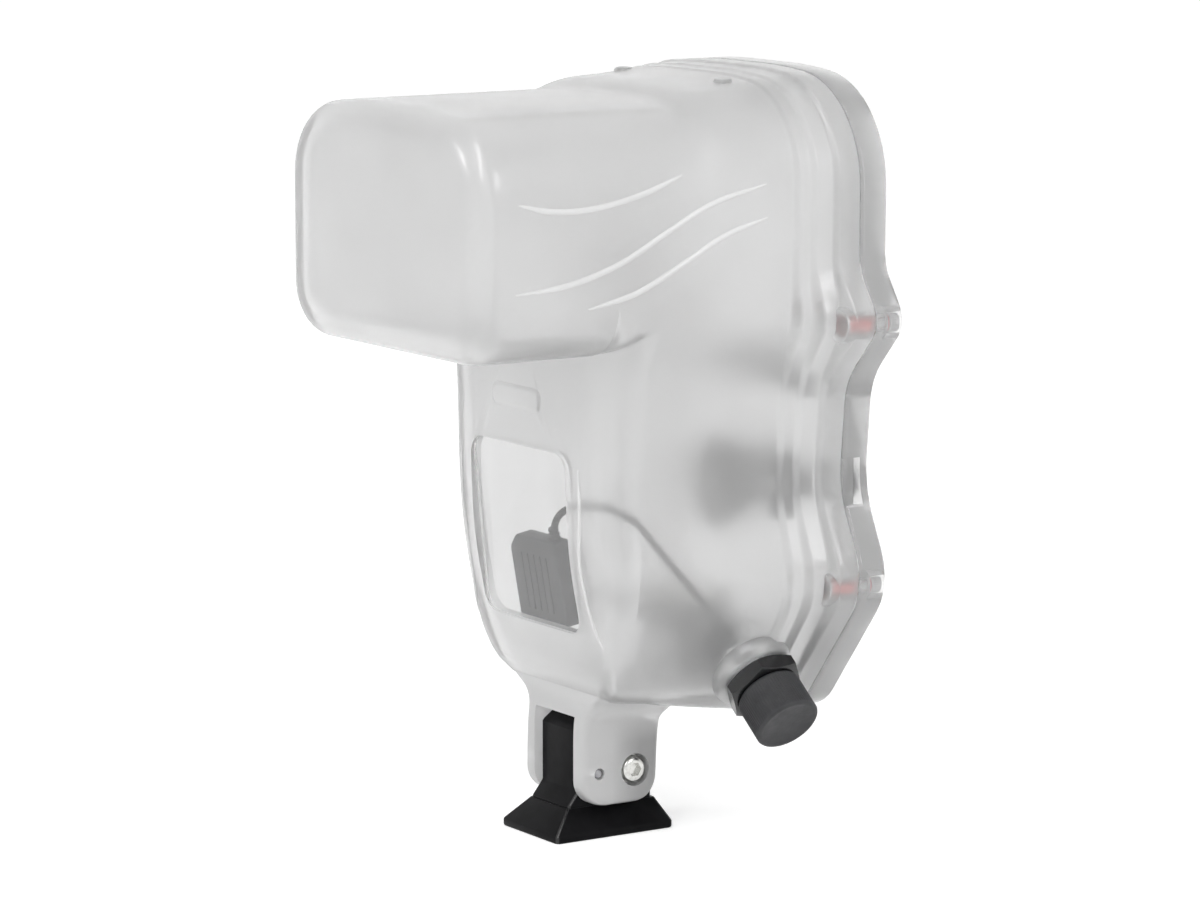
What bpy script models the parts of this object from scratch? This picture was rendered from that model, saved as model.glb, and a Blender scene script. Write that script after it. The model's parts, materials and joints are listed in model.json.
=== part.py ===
"""Underwater flash housing, as the separate pieces that it comes apart into.

Units are metres and +Z is up. The origin is the centre of the foot's underside. The flash looks along -Y, the
cover closes the case at +Y, and the sync connector is on the +X side.
"""

import math

import bmesh
import bpy
from mathutils import Matrix, Vector

# Clearances
TOUCH = 0.0003
RUN = 0.0003

# Case: overall sizes
WALL = 0.0035
FRONT_WALL = 0.0045
HOOD_HALF = 0.0565
HOOD_FRONT = -0.0735
HOOD_BOTTOM = 0.154
HOOD_HEIGHT = 0.0745
HOOD_CORNER = 0.021
HOOD_EDGE = 0.008
CHEST_FRONT = -0.0253
CHEST_IN = 0.0119
CASE_BOTTOM = 0.0355
RIM_OUT = 0.0045
RIM_RISE = 0.007
JOINT = 0.0585
RIM_LONG = 0.022
RIM_THICK = 0.007
RIM_CHAMFER = 0.0008
LAND = 0.0095
WAIST_HEIGHT = 0.108
CHEST_TALL = 0.1185

# Ears and closure screws
EAR_REACH = 0.0125
EAR_RISE = 0.0065
EAR_TO_SCREW = 0.0092
FLARE_RISE = 0.0435
FLARE_REACH = 0.0045
SCREW_R = 0.0019
SCREW_HEAD_OUT = 0.0016
SCREW_HEAD_H = 0.0035
SOCKET_AF = 0.003
WASHER_THICK = 0.0008
INSERT_OUT = 0.0011
INSERT_LONG = 0.008
INSERT_WALL = 0.0022
SCREW_REACH = 0.0065

# Cover and its seal
COVER_THICK = 0.0097
COVER_BEVEL = 0.001
PANEL_THICK = 0.0062
LIP_DEEP = 0.003
LIP_THICK = 0.003
LIP_GAP = 0.0005
SEAL_R = 0.0015
SEAL_FROM_MOUTH = 0.0032
SEAL_ROOM = 0.0003
NOTCH_HEIGHT = 0.110
NOTCH_TALL = 0.015
NOTCH_DEEP = 0.0025
NOTCH_LONG = 0.007

# Foot, lug and the screw across them
FOOT_OUT = 0.0052
FOOT_HALF_Y = 0.0215
FOOT_PLATE = 0.0026
SKIRT_TOP = 0.0093
POST_HALF = 0.0108
POST_FRONT = -0.0104
POST_BACK = 0.0168
POST_RISE = 0.0022
POST_TOE = 0.0035
POST_CHAMFER = 0.004
FOOT_HOLE_R = 0.0021
FOOT_HOLE_DEEP = 0.0065
FOOT_HOLE_SPACING = 0.025
LUG_OUT = 0.0062
LUG_FRONT = -0.0124
LUG_BACK = 0.0162
LUG_BOTTOM = 0.0102
LUG_ROUND = 0.008
CLAMP_Y = 0.0065
CLAMP_Z = 0.0204
CLAMP_R = 0.0025
CLAMP_HEAD_OUT = 0.0018
CLAMP_HEAD_H = 0.0026
DOWEL_Y = -0.0066
DOWEL_Z = 0.0205
DOWEL_R = 0.0015
NUT_OUT = 0.0015
NUT_THICK = 0.0028

# Connector on the slanted lower facet
SEAT_FROM = Vector((0.0107, -0.0215, 0.0141))
SEAT_SLOPE = math.radians(-37.2)
BOSS_OUT = 0.0072
BARREL_R = 0.007
BARREL_OUT = 0.0145
BARREL_WALL = 0.0015
WALL_AT_SEAT = 0.0056
BACK_FLANGE_OUT = 0.0035
BACK_FLANGE_THICK = 0.0025
CONNECTOR_NUT_OUT = 0.004
CONNECTOR_NUT_THICK = 0.0055
RING_R = 0.0007
CAP_OUT = 0.0034
CAP_LONG = 0.0135
CAP_FLOOR = 0.003
PIN_R = 0.0006
PIN_LONG = 0.0035
PIN_CIRCLE = 0.003
PIN_COUNT = 5

# Controls on the cover: places across (X) and up (Z)
BUTTON_SPOTS = ((-0.027, 0.140), (-0.009, 0.140), (0.009, 0.140), (0.027, 0.140))
SELECT_SPOT = (-0.002, 0.104)
POWER_IN = 0.033
POWER_HEIGHT = 0.106
SHAFT_R = 0.0016
GLAND_R = 0.0042
GLAND_FLANGE_OUT = 0.002
GLAND_FLANGE_THICK = 0.002
GLAND_PROUD = 0.0018
BUTTON_R = 0.0055
BUTTON_THICK = 0.0042
BUTTON_TRAVEL = 0.002
BUTTON_REACH = 0.010
CLIP_R = 0.0033
CLIP_THICK = 0.0008
CLIP_GROOVE = 0.0003
SPRING_WIRE_R = 0.0003
SPRING_R = 0.0026
SPRING_TURNS = 2.5
BUTTON_GAP = BUTTON_TRAVEL + (SPRING_TURNS + 1) * 2 * SPRING_WIRE_R + 4 * TOUCH
KNOB_SHAFT_R = 0.0024
SELECT_R = 0.011
SELECT_THICK = 0.008
SELECT_FLUTES = 12
SELECT_FLUTE_R = 0.0016
WHEEL_R = 0.014
WHEEL_THICK = 0.006
WHEEL_REACH = 0.014
POWER_R = 0.0075
POWER_THICK = 0.006
POWER_GRIP = 0.0035
FORK_TALL = 0.022
FORK_WIDE = 0.007
FORK_THICK = 0.004
FORK_SLOT = 0.0024
FORK_REACH = 0.010

# Inside of the case
SHOE_FROM_JOINT = 0.0345
SHOE_LONG = 0.027
SHOE_RISE = 0.0165
SHEET = 0.0022
SHOE_HALF = 0.012
SHOE_BASE_THICK = 0.005
RAIL_THICK = 0.001
RAIL_TALL = 0.0045
RAIL_LIP = 0.0035
BRACKET_SCREW_R = 0.00125
BRACKET_HEAD_R = 0.0026
BRACKET_HEAD_H = 0.002
BRACKET_SCREW_DEEP = 0.0028
BRACKET_SCREWS_IN = (0.008, 0.020)
MODULE_X = -0.0015
MODULE_HEIGHT = 0.080
MODULE_OFF_WALL = 0.000396
MODULE_SIZE = Vector((0.027, 0.006, 0.027))
MODULE_TILT = math.radians(10.0)
LEAD_R = 0.0011

# Front face details
WINDOW_SIZE = (0.054, 0.056)
WINDOW_DEEP = 0.0032
WINDOW_RISE = 0.059
WINDOW_TILT = math.radians(5.9)
WINDOW_CORNER = 0.006
PAD_SIZE = (0.028, 0.008)
PAD_DROP = 0.017
PAD_PROUD = 0.0012
PIP_R = 0.003
PIP_PROUD = 0.0012
PIP_APART = 0.055
PIP_FROM_JOINT = 0.0275

# Points on each rounded corner of the case's outline, from the crown down to the bottom corner
CORNER_STEPS = (1, 5, 3, 1, 1, 2, 2, 2, 2)

HOOD_TOP = HOOD_BOTTOM + HOOD_HEIGHT
RIM_TOP = HOOD_TOP + RIM_RISE
CHEST_STRETCH = (HOOD_BOTTOM - CASE_BOTTOM) / CHEST_TALL
CHEST_HALF = HOOD_HALF - CHEST_IN
RIM_HALF = HOOD_HALF + RIM_OUT
BASE_HALF = RIM_HALF - 0.032
BODY_BACK = JOINT - RIM_LONG
EAR_HEIGHT = HOOD_BOTTOM + EAR_RISE
FLARE_HEIGHT = CASE_BOTTOM + FLARE_RISE
POWER_SPOT = (RIM_HALF - POWER_IN, POWER_HEIGHT)
SCREW_HEAD_R = SCREW_R + SCREW_HEAD_OUT
INSERT_R = SCREW_R + INSERT_OUT
POST_TOP = CASE_BOTTOM + POST_RISE
LUG_HALF = POST_HALF + LUG_OUT
FOOT_HALF_X = POST_HALF + FOOT_OUT
CLAMP_HEAD_R = CLAMP_R + CLAMP_HEAD_OUT
NUT_AF = 2 * (CLAMP_R + NUT_OUT)
SEAT = Vector((BASE_HALF, JOINT, CASE_BOTTOM)) + SEAT_FROM
BOSS_R = BARREL_R + BOSS_OUT
BARREL_BORE = BARREL_R - BARREL_WALL
BACK_FLANGE_R = BARREL_R + BACK_FLANGE_OUT
CONNECTOR_NUT_AF = 2 * (BARREL_R + CONNECTOR_NUT_OUT)
CAP_R = BARREL_R + CAP_OUT
GLAND_FLANGE_R = GLAND_R + GLAND_FLANGE_OUT
SHOE_Y = (JOINT - SHOE_FROM_JOINT, JOINT - SHOE_FROM_JOINT + SHOE_LONG)
BRACKET_SPOTS = tuple(SHOE_Y[0] + distance for distance in BRACKET_SCREWS_IN)
PAD_HEIGHT = HOOD_BOTTOM - PAD_DROP
PIP_SPOT = (PIP_APART / 2, JOINT - PIP_FROM_JOINT)
SEAT_AXIS = Vector((math.cos(SEAT_SLOPE), 0, math.sin(SEAT_SLOPE)))
SHOE_FLOOR = CASE_BOTTOM + LAND + TOUCH
SHOE_TOP = SHOE_FLOOR + SHOE_RISE
CHEST_SIDE = CHEST_FRONT + 0.0113
CHEST_FLANK = CHEST_SIDE + 0.006
COVER_FRONT = JOINT + TOUCH
COVER_BACK = COVER_FRONT + COVER_THICK
PANEL_FRONT = COVER_BACK - PANEL_THICK
UPPER_SCREW_X = RIM_HALF + EAR_REACH - EAR_TO_SCREW
LOWER_SCREW_X = RIM_HALF + FLARE_REACH - EAR_TO_SCREW
CLOSURES = {
    "upper_right": (UPPER_SCREW_X, EAR_HEIGHT),
    "upper_left": (-UPPER_SCREW_X, EAR_HEIGHT),
    "lower_right": (LOWER_SCREW_X, FLARE_HEIGHT),
    "lower_left": (-LOWER_SCREW_X, FLARE_HEIGHT),
}


def up(rise):
    """The height of a place on the chest, drawn at a rise over the case's bottom on a chest of CHEST_TALL."""
    return CASE_BOTTOM + rise * CHEST_STRETCH


WINDOW_CENTRE = (CHEST_FRONT + WINDOW_DEEP, up(WINDOW_RISE))


# Scene, collections and materials


def empty_scene():
    for old in list(bpy.data.objects):
        bpy.data.objects.remove(old, do_unlink=True)
    made = {}
    for name in ("flash_housing", "cutters"):
        made[name] = bpy.data.collections.new(name)
        bpy.context.scene.collection.children.link(made[name])
    return made["flash_housing"], made["cutters"]


PARTS, CUTTERS = empty_scene()


def material(name, colour, roughness, metallic=0.0, alpha=1.0, transmission=0.0):
    made = bpy.data.materials.new(name)
    made.use_nodes = True
    shader = made.node_tree.nodes["Principled BSDF"]
    shader.inputs["Base Color"].default_value = (*colour, 1.0)
    shader.inputs["Roughness"].default_value = roughness
    shader.inputs["Metallic"].default_value = metallic
    shader.inputs["Alpha"].default_value = alpha
    shader.inputs["Transmission Weight"].default_value = transmission
    return made


def piece(name, mesh, colour, roughness, metallic=0.0, alpha=1.0, transmission=0.0):
    """A finished sub-part in the parts collection, with its own material."""
    mesh.name = name
    mesh.materials.append(material(name, colour, roughness, metallic, alpha, transmission))
    made = bpy.data.objects.new(name, mesh)
    PARTS.objects.link(made)
    return made


def tool(name, mesh):
    """A cutter or a shape that a Boolean joins, kept out of the parts."""
    made = bpy.data.objects.new(name, mesh)
    CUTTERS.objects.link(made)
    made.hide_render = True
    made.display_type = "WIRE"
    return made


def boolean(target, other, operation):
    made = target.modifiers.new(other.name, "BOOLEAN")
    made.operation = operation
    made.object = other
    made.solver = "EXACT"


def cut(target, *others):
    for other in others:
        boolean(target, other, "DIFFERENCE")


def join(target, *others):
    for other in others:
        boolean(target, other, "UNION")


def bevel(target, width, segments=1):
    made = target.modifiers.new("bevel", "BEVEL")
    made.width = width
    made.segments = segments
    made.limit_method = "ANGLE"
    made.angle_limit = math.radians(40)
    made.use_clamp_overlap = True


def smooth(mesh, angle=math.radians(35)):
    mesh.shade_smooth()
    mesh.set_sharp_from_angle(angle=angle)


def place(target, location, axis=(0, 0, 1)):
    """Stands a piece made along its own Z on a point, with that Z along an axis."""
    target.rotation_mode = "QUATERNION"
    target.rotation_quaternion = Vector(axis).to_track_quat("Z", "Y")
    target.location = location
    return target


def carrier(name, location, parent=None):
    """An empty on a joint's axis, which the moving pieces hang from."""
    made = bpy.data.objects.new(name, None)
    PARTS.objects.link(made)
    made.location = location
    if parent:
        hang(made, parent)
    return made


def hang(child, parent):
    """Parents a piece and leaves it where it is in the world."""
    bpy.context.view_layer.update()
    child.parent = parent
    child.matrix_parent_inverse = parent.matrix_world.inverted()


# Shapes


def drum(radius, low, high, sides=24):
    """A plain cylinder along Z."""
    made = bmesh.new()
    bmesh.ops.create_cone(
        made, cap_ends=True, segments=sides, radius1=radius, radius2=radius, depth=high - low
    )
    bmesh.ops.translate(made, verts=made.verts, vec=(0, 0, (low + high) / 2))
    mesh = bpy.data.meshes.new("drum")
    made.to_mesh(mesh)
    made.free()
    smooth(mesh)
    return mesh


def block(size, centre=(0, 0, 0)):
    made = bmesh.new()
    bmesh.ops.create_cube(made, size=1.0)
    bmesh.ops.scale(made, verts=made.verts, vec=size)
    bmesh.ops.translate(made, verts=made.verts, vec=centre)
    mesh = bpy.data.meshes.new("block")
    made.to_mesh(mesh)
    made.free()
    return mesh


def hexagon(across_flats, low, high):
    """A hexagonal prism along Z."""
    return drum(across_flats / 2 / math.cos(math.radians(30)), low, high, 6)


def evaluated(target, weld=True):
    """The mesh of an object with its modifiers, or of a curve with its tube, and the object removed."""
    bpy.context.view_layer.update()
    graph = bpy.context.evaluated_depsgraph_get()
    mesh = bpy.data.meshes.new_from_object(target.evaluated_get(graph), depsgraph=graph)
    bpy.data.objects.remove(target, do_unlink=True)
    if weld:
        made = bmesh.new()
        made.from_mesh(mesh)
        bmesh.ops.remove_doubles(made, verts=made.verts, dist=1e-7)
        bmesh.ops.recalc_face_normals(made, faces=made.faces)
        made.to_mesh(mesh)
        made.free()
    return mesh


def turned(profile, sides=28):
    """A profile of (radius, height), outer side from top to bottom, turned about Z. It closes on the axis."""
    mesh = bpy.data.meshes.new("profile")
    points = [(radius, 0, height) for radius, height in profile]
    loop = min(radius for radius, _ in profile) > 0
    edges = [(i, i + 1) for i in range(len(points) - 1)]
    if loop:
        edges.append((len(points) - 1, 0))
    mesh.from_pydata(points, edges, [])
    source = bpy.data.objects.new("profile", mesh)
    PARTS.objects.link(source)
    screw = source.modifiers.new("turn", "SCREW")
    screw.axis = "Z"
    screw.steps = sides
    screw.render_steps = sides
    screw.use_merge_vertices = True
    screw.merge_threshold = 0.00001
    made = evaluated(source)
    smooth(made)
    return made


def prism(outline, low, high):
    """A flat outline of (x, z), filled as a 2D curve and given its thickness along Y."""
    shape = bpy.data.curves.new("outline", "CURVE")
    shape.dimensions = "2D"
    shape.fill_mode = "BOTH"
    shape.extrude = (high - low) / 2
    spline = shape.splines.new("POLY")
    spline.points.add(len(outline) - 1)
    for point, (x, z) in zip(spline.points, outline):
        point.co = (x, z, 0, 1)
    spline.use_cyclic_u = True
    source = bpy.data.objects.new("outline", shape)
    PARTS.objects.link(source)
    mesh = evaluated(source)
    mesh.transform(Matrix.Translation((0, (low + high) / 2, 0)) @ Matrix.Rotation(math.pi / 2, 4, "X"))
    return mesh


def tube(points, radius, closed=False, resolution=1):
    """A round cord or wire through points, with its ends capped."""
    shape = bpy.data.curves.new("tube", "CURVE")
    shape.dimensions = "3D"
    shape.bevel_depth = radius
    shape.bevel_resolution = resolution
    shape.use_fill_caps = True
    spline = shape.splines.new("POLY")
    spline.points.add(len(points) - 1)
    for point, at in zip(spline.points, points):
        point.co = (*at, 1)
    spline.use_cyclic_u = closed
    source = bpy.data.objects.new("tube", shape)
    PARTS.objects.link(source)
    made = evaluated(source)
    smooth(made)
    return made


def rounded_box(wide, tall, corner, steps=3):
    """The outline of a rectangle with round corners, about the origin."""
    points = []
    for quarter, (sx, sz) in enumerate(((1, 1), (-1, 1), (-1, -1), (1, -1))):
        for step in range(steps + 1):
            angle = math.pi / 2 * (quarter + step / steps)
            x = sx * (wide / 2 - corner) + corner * math.cos(angle)
            z = sz * (tall / 2 - corner) + corner * math.sin(angle)
            points.append((x, z))
    return points


def stacked(levels, corner):
    """A solid through rectangles with round corners, each a height, a half width, a front and a back."""
    made = bmesh.new()
    loops = []
    for z, half, front, back in levels:
        outline = rounded_box(2 * half, back - front, corner)
        loops.append([made.verts.new((x, y + (front + back) / 2, z)) for x, y in outline])
    for low, high in zip(loops, loops[1:]):
        for i in range(len(low)):
            j = (i + 1) % len(low)
            made.faces.new((low[i], low[j], high[j], high[i]))
    made.faces.new(reversed(loops[0]))
    made.faces.new(loops[-1])
    bmesh.ops.recalc_face_normals(made, faces=made.faces)
    mesh = bpy.data.meshes.new("stacked")
    made.to_mesh(mesh)
    made.free()
    return mesh


def smooth_route(knots, steps):
    """Points on a smooth curve through a route's own points."""
    ends = [2 * knots[0] - knots[1], *knots, 2 * knots[-1] - knots[-2]]
    points = []
    for i in range(1, len(ends) - 2):
        before, start, end, after = ends[i - 1 : i + 3]
        for step in range(steps):
            t = step / steps
            points.append(
                0.5
                * (
                    2 * start
                    + (end - before) * t
                    + (2 * before - 5 * start + 4 * end - after) * t**2
                    + (3 * start - 3 * end + after - before) * t**3
                )
            )
    points.append(knots[-1])
    return points


# The case's outline at one distance from the front. Half of it is a list of corners, each a half width, a height
# and the length that its rounding takes from either side.


def lay_out(corners, bottom):
    """The corners between the two points on the middle plane that they run from and to."""
    return [Vector((0, corners[0][1])), *[Vector(c[:2]) for c in corners], Vector((0, bottom))]


def reaches(corners, spots):
    """How far each corner's rounding runs along both of its edges, where two corners share an edge's length."""
    wanted = [0, *[corner[2] for corner in corners], 0]
    edges = [(b - a).length for a, b in zip(spots, spots[1:])]
    fits = [min(1.0, 0.96 * length / max(a + b, 1e-9)) for length, a, b in zip(edges, wanted, wanted[1:])]
    return [wanted[i] * min(fits[i - 1], fits[i]) for i in range(1, len(spots) - 1)]


def rounded(corners, bottom):
    """The whole outline of a half list of corners, as (x, z), down the +X side and up the other."""
    spots = lay_out(corners, bottom)
    half = []
    for i, (reach, steps) in enumerate(zip(reaches(corners, spots), CORNER_STEPS), start=1):
        back, forth = (spots[i - 1] - spots[i]).normalized(), (spots[i + 1] - spots[i]).normalized()
        start, end = spots[i] + back * reach, spots[i] + forth * reach
        weight = math.sqrt(max(0.0, (1 - back.dot(forth)) / 2))
        for step in range(steps + 1):
            t = step / steps
            a, b, c = (1 - t) ** 2, 2 * weight * t * (1 - t), t**2
            half.append((a * start + b * spots[i] + c * end) / (a + b + c))
    other = [Vector((-p.x, p.y)) for p in reversed(half)]
    return half + other


def inset(corners, bottom, distance):
    """The same corners moved in by a distance, with their rounding kept parallel."""
    spots = lay_out(corners, bottom)
    moved = []
    for i, corner in enumerate(corners, start=1):
        back, forth = (spots[i] - spots[i - 1]).normalized(), (spots[i + 1] - spots[i]).normalized()
        inward = Vector((back.y, -back.x)) + Vector((forth.y, -forth.x))
        share = 1 + back.dot(forth)
        spot = spots[i] + inward * distance / share
        turn = (back.x * forth.y - back.y * forth.x) / share
        moved.append((spot.x, spot.y, max(corner[2] + turn * distance, 0.0004)))
    return moved, bottom + distance


def between(one, other, share):
    """A row of corners part of the way from one row to another."""
    corners = [tuple(a + (b - a) * share for a, b in zip(p, q)) for p, q in zip(one[0], other[0])]
    return corners, one[1] + (other[1] - one[1]) * share


def hood_row():
    """The flash hood alone: its lower corners lie along its underside."""
    under = [(0.027 - 0.0045 * i, HOOD_BOTTOM, 0.0018) for i in range(6)]
    top = [(0.018, HOOD_TOP, 0.010), (HOOD_HALF, HOOD_TOP - 0.004, HOOD_CORNER)]
    return [*top, (HOOD_HALF, HOOD_BOTTOM, HOOD_CORNER - 0.004), *under], HOOD_BOTTOM


def chest_row(blend, side, waist, low, base, bottom):
    """The hood over the chest. Side, waist and low tell how far the chest lies in from its full half width, and the
    blend is how far the crease under the hood has grown to the slope that the case's flanks have."""
    top = hood_row()[0][:2]
    flank = CHEST_HALF - side
    under = [
        (HOOD_HALF, HOOD_BOTTOM + 0.014 * blend, HOOD_CORNER - 0.004 - 0.005 * blend),
        (flank + 0.0035 + 0.005 * blend, HOOD_BOTTOM + 0.0003 + 0.0035 * blend, 0.0025 + 0.006 * blend),
        (flank + 0.0006 + 0.003 * blend, HOOD_BOTTOM - 0.005, 0.0025 + 0.004 * blend),
        (flank + 0.0008 * blend, up(0.1005), 0.006),
        (CHEST_HALF - waist[0], waist[1], 0.008),
        (CHEST_HALF - low[0], low[1], 0.009),
        (base, bottom + 0.001, 0.006),
    ]
    return [*top, *under], bottom


def body_row():
    """The case just before its rim."""
    corners = [
        (0.020, HOOD_TOP + 0.0048, 0.010),
        (HOOD_HALF, HOOD_TOP + 0.001, 0.026),
        (HOOD_HALF, EAR_HEIGHT + 0.0315, 0.008),
        (HOOD_HALF - 0.0005, EAR_HEIGHT + 0.0155, 0.006),
        (HOOD_HALF - 0.002, EAR_HEIGHT, 0.006),
        (RIM_HALF - 0.011, EAR_HEIGHT - 0.0185, 0.005),
        (RIM_HALF - 0.0135, WAIST_HEIGHT, 0.008),
        (RIM_HALF - 0.0065, FLARE_HEIGHT, 0.009),
        (BASE_HALF, CASE_BOTTOM + 0.002, 0.005),
    ]
    return corners, CASE_BOTTOM + 0.002


def rim_row(ear=EAR_REACH, flare=FLARE_REACH):
    """The flange and the cover."""
    corners = [
        (0.020, RIM_TOP, 0.010),
        (RIM_HALF, RIM_TOP - 0.004, 0.031),
        (RIM_HALF, EAR_HEIGHT + 0.0295, 0.008),
        (RIM_HALF - 0.0002, EAR_HEIGHT + 0.0165, 0.004),
        (RIM_HALF + ear, EAR_HEIGHT, 0.006),
        (RIM_HALF - 0.0065, EAR_HEIGHT - 0.019, 0.007),
        (RIM_HALF - 0.0095, WAIST_HEIGHT, 0.009),
        (RIM_HALF + flare, FLARE_HEIGHT, 0.012),
        (RIM_HALF - 0.0305, CASE_BOTTOM, 0.008),
    ]
    return corners, CASE_BOTTOM


RIM = rim_row()
MOUTH = inset(*rim_row(ear=-0.0008, flare=-0.0035), LAND)
SEAL = inset(*MOUTH, -SEAL_FROM_MOUTH)


def hood_stations():
    """Rows for the hood from its front face, round its front edge, to the chest."""
    rows = []
    for step in range(4):
        angle = math.pi / 2 * step / 3
        row = inset(*hood_row(), HOOD_EDGE * (1 - math.sin(angle)))
        rows.append((HOOD_FRONT + HOOD_EDGE * (1 - math.cos(angle)), row))
    rows.append((CHEST_FRONT - 0.0006, hood_row()))
    return rows


def chest_stations():
    """Rows for the chest, which leans back and rounds under as it goes down."""
    face, edge, turn, chin = (CHEST_FRONT + d for d in (0, 0.0008, 0.0043, 0.0078))
    waist = up(0.0725)
    flank = chest_row(1, 0, (0.0006, waist), (-0.0006, FLARE_HEIGHT), 0.0295, up(0.008))
    blends = ((0.010, 0.2), (0.020, 0.46), (0.032, 0.74))
    return [
        (face, chest_row(0, 0.0136, (0.0136, up(0.0975)), (0.0138, up(0.0865)), 0.0300, up(0.0745))),
        (edge, chest_row(0.1, 0.009, (0.0094, up(0.0845)), (0.0102, up(0.0735)), 0.0320, up(0.06))),
        (turn, chest_row(0.35, 0.0041, (0.0046, waist), (0.0066, up(0.0515)), 0.0330, up(0.038))),
        (chin, chest_row(0.6, 0.0021, (0.0026, waist), (0.0036, up(0.0445)), 0.0330, up(0.0215))),
        (CHEST_SIDE, chest_row(0.8, 0.0008, (0.0014, waist), (0.0016, up(0.044)), 0.0315, up(0.013))),
        (CHEST_FLANK, flank),
        *[(CHEST_FLANK + y, between(flank, body_row(), share)) for y, share in blends],
        (BODY_BACK, body_row()),
    ]


def rim_stations():
    """Rows for the two ridges and the flange that the cover closes on."""
    first, second = between(body_row(), RIM, 0.32), between(body_row(), RIM, 0.62)
    back = JOINT - RIM_THICK
    return [
        (BODY_BACK + 0.002, first),
        (BODY_BACK + 0.0055, first),
        (BODY_BACK + 0.0075, second),
        (back - 0.002, second),
        (back, RIM),
        (JOINT - RIM_CHAMFER, RIM),
        (JOINT, inset(*RIM, RIM_CHAMFER)),
    ]


def cavity_stations():
    """The case's rows moved in by the wall, and back by it where the case faces forward."""
    rows = []
    for y, row in hood_stations() + chest_stations():
        shift = FRONT_WALL if y < CHEST_SIDE + 0.0001 else 0
        rows.append((y + shift, inset(*row, WALL)))
    rows.append((JOINT + 0.002, inset(*body_row(), WALL)))
    return rows


def skin(stations):
    """A solid through the outlines of the rows, capped at both ends."""
    made = bmesh.new()
    loops = []
    for y, row in stations:
        loops.append([made.verts.new((p.x, y, p.y)) for p in rounded(*row)])
    for front, back in zip(loops, loops[1:]):
        for i in range(len(front)):
            j = (i + 1) % len(front)
            made.faces.new((front[i], front[j], back[j], back[i]))
    made.faces.new(reversed(loops[0]))
    made.faces.new(loops[-1])
    bmesh.ops.recalc_face_normals(made, faces=made.faces)
    mesh = bpy.data.meshes.new("skin")
    made.to_mesh(mesh)
    made.free()
    return mesh


# The front shell


def lug_neck():
    """The solid neck that narrows from the case's floor to the lug."""
    levels = (
        (CASE_BOTTOM - 0.0035, LUG_HALF - 0.0006, LUG_FRONT + 0.001, LUG_BACK),
        (CASE_BOTTOM + 0.003, LUG_HALF + 0.0008, LUG_FRONT + 0.0004, LUG_BACK + 0.004),
        (CASE_BOTTOM + 0.007, LUG_HALF + 0.005, LUG_FRONT + 0.0012, LUG_BACK + 0.009),
        (CASE_BOTTOM + 0.011, LUG_HALF + 0.011, LUG_FRONT + 0.001, LUG_BACK + 0.014),
        (CASE_BOTTOM + 0.0145, LUG_HALF + 0.013, LUG_FRONT, LUG_BACK + 0.016),
    )
    return stacked(levels, 0.005)


def lug_outline():
    """The lug seen from the side, as (y, z), round at its two lower corners."""
    top = CASE_BOTTOM + 0.0005
    points = [(LUG_BACK, top)]
    for centre, start in ((LUG_BACK - LUG_ROUND, 0), (LUG_FRONT + LUG_ROUND, -math.pi / 2)):
        for step in range(6):
            angle = start - math.pi / 2 * step / 5
            y, z = LUG_ROUND * math.cos(angle), LUG_ROUND * math.sin(angle)
            points.append((centre + y, LUG_BOTTOM + LUG_ROUND + z))
    points.append((LUG_FRONT, top))
    return points


def across(outline, low, high):
    """A flat outline of (y, z) given its thickness along X."""
    mesh = prism(outline, low, high)
    mesh.transform(Matrix.Rotation(math.pi / 2, 4, "Z"))
    mesh.transform(Matrix.Diagonal((-1, 1, 1, 1)))
    mesh.flip_normals()
    return mesh


def clear_plastic(name, mesh):
    return piece(name, mesh, (0.80, 0.81, 0.80), 0.35, alpha=0.4, transmission=0.6)


def front_shell():
    shell = clear_plastic("front_shell", skin(hood_stations() + chest_stations() + rim_stations()))

    lug = tool("lug", across(lug_outline(), -LUG_HALF, LUG_HALF))
    neck = tool("lug_neck", lug_neck())
    boss = place(tool("connector_boss", drum(BOSS_R, -0.009, 0, 28)), SEAT, SEAT_AXIS)
    pad = tool("front_pad", prism(rounded_box(*PAD_SIZE, 0.002), -PAD_PROUD, 0.002))
    pad.location = (0, CHEST_FRONT, PAD_HEIGHT)
    pips = []
    for side in (-1, 1):
        pip = tool("top_pip", drum(PIP_R, -0.003, PIP_PROUD, 14))
        pip.location = (side * PIP_SPOT[0], PIP_SPOT[1], HOOD_TOP + 0.0032)
        pips.append(pip)
    join(shell, neck, lug, boss, pad, *pips, *insert_bosses())

    inside = tool("inside", skin(cavity_stations()))
    draw = tool("mouth_draw", prism([tuple(p) for p in rounded(*MOUTH)], HOOD_FRONT, JOINT + 0.001))
    boolean(inside, draw, "INTERSECT")
    slot_half = POST_HALF + TOUCH
    slot = tool("lug_slot", block((2 * slot_half, 0.06, POST_TOP + TOUCH), (0, 0.005, (POST_TOP + TOUCH) / 2)))
    window_outline = rounded_box(*WINDOW_SIZE, WINDOW_CORNER)
    window = tool("window_recess", prism(window_outline, -0.006, 0))
    window.location = (0, *WINDOW_CENTRE)
    window.rotation_euler = (WINDOW_TILT, 0, 0)
    cut(shell, inside, slot, window, *connector_seats(), *clamp_seats(), *insert_seats())
    cut(shell, *bracket_holes())
    smooth(shell.data)
    return shell


def connector_seats():
    """The hole for the connector, the flat for its back flange and the groove for its seal."""
    hole = tool("connector_hole", drum(BARREL_R + RUN, -0.02, 0.004, 24))
    flat = tool("connector_flat", drum(BACK_FLANGE_R + RUN, -0.02, -WALL_AT_SEAT, 24))
    groove = tool("connector_groove", drum(BARREL_R + 2 * RING_R + 0.0007, -0.0018, 0.004, 24))
    return [place(made, SEAT, SEAT_AXIS) for made in (hole, flat, groove)]


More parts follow.
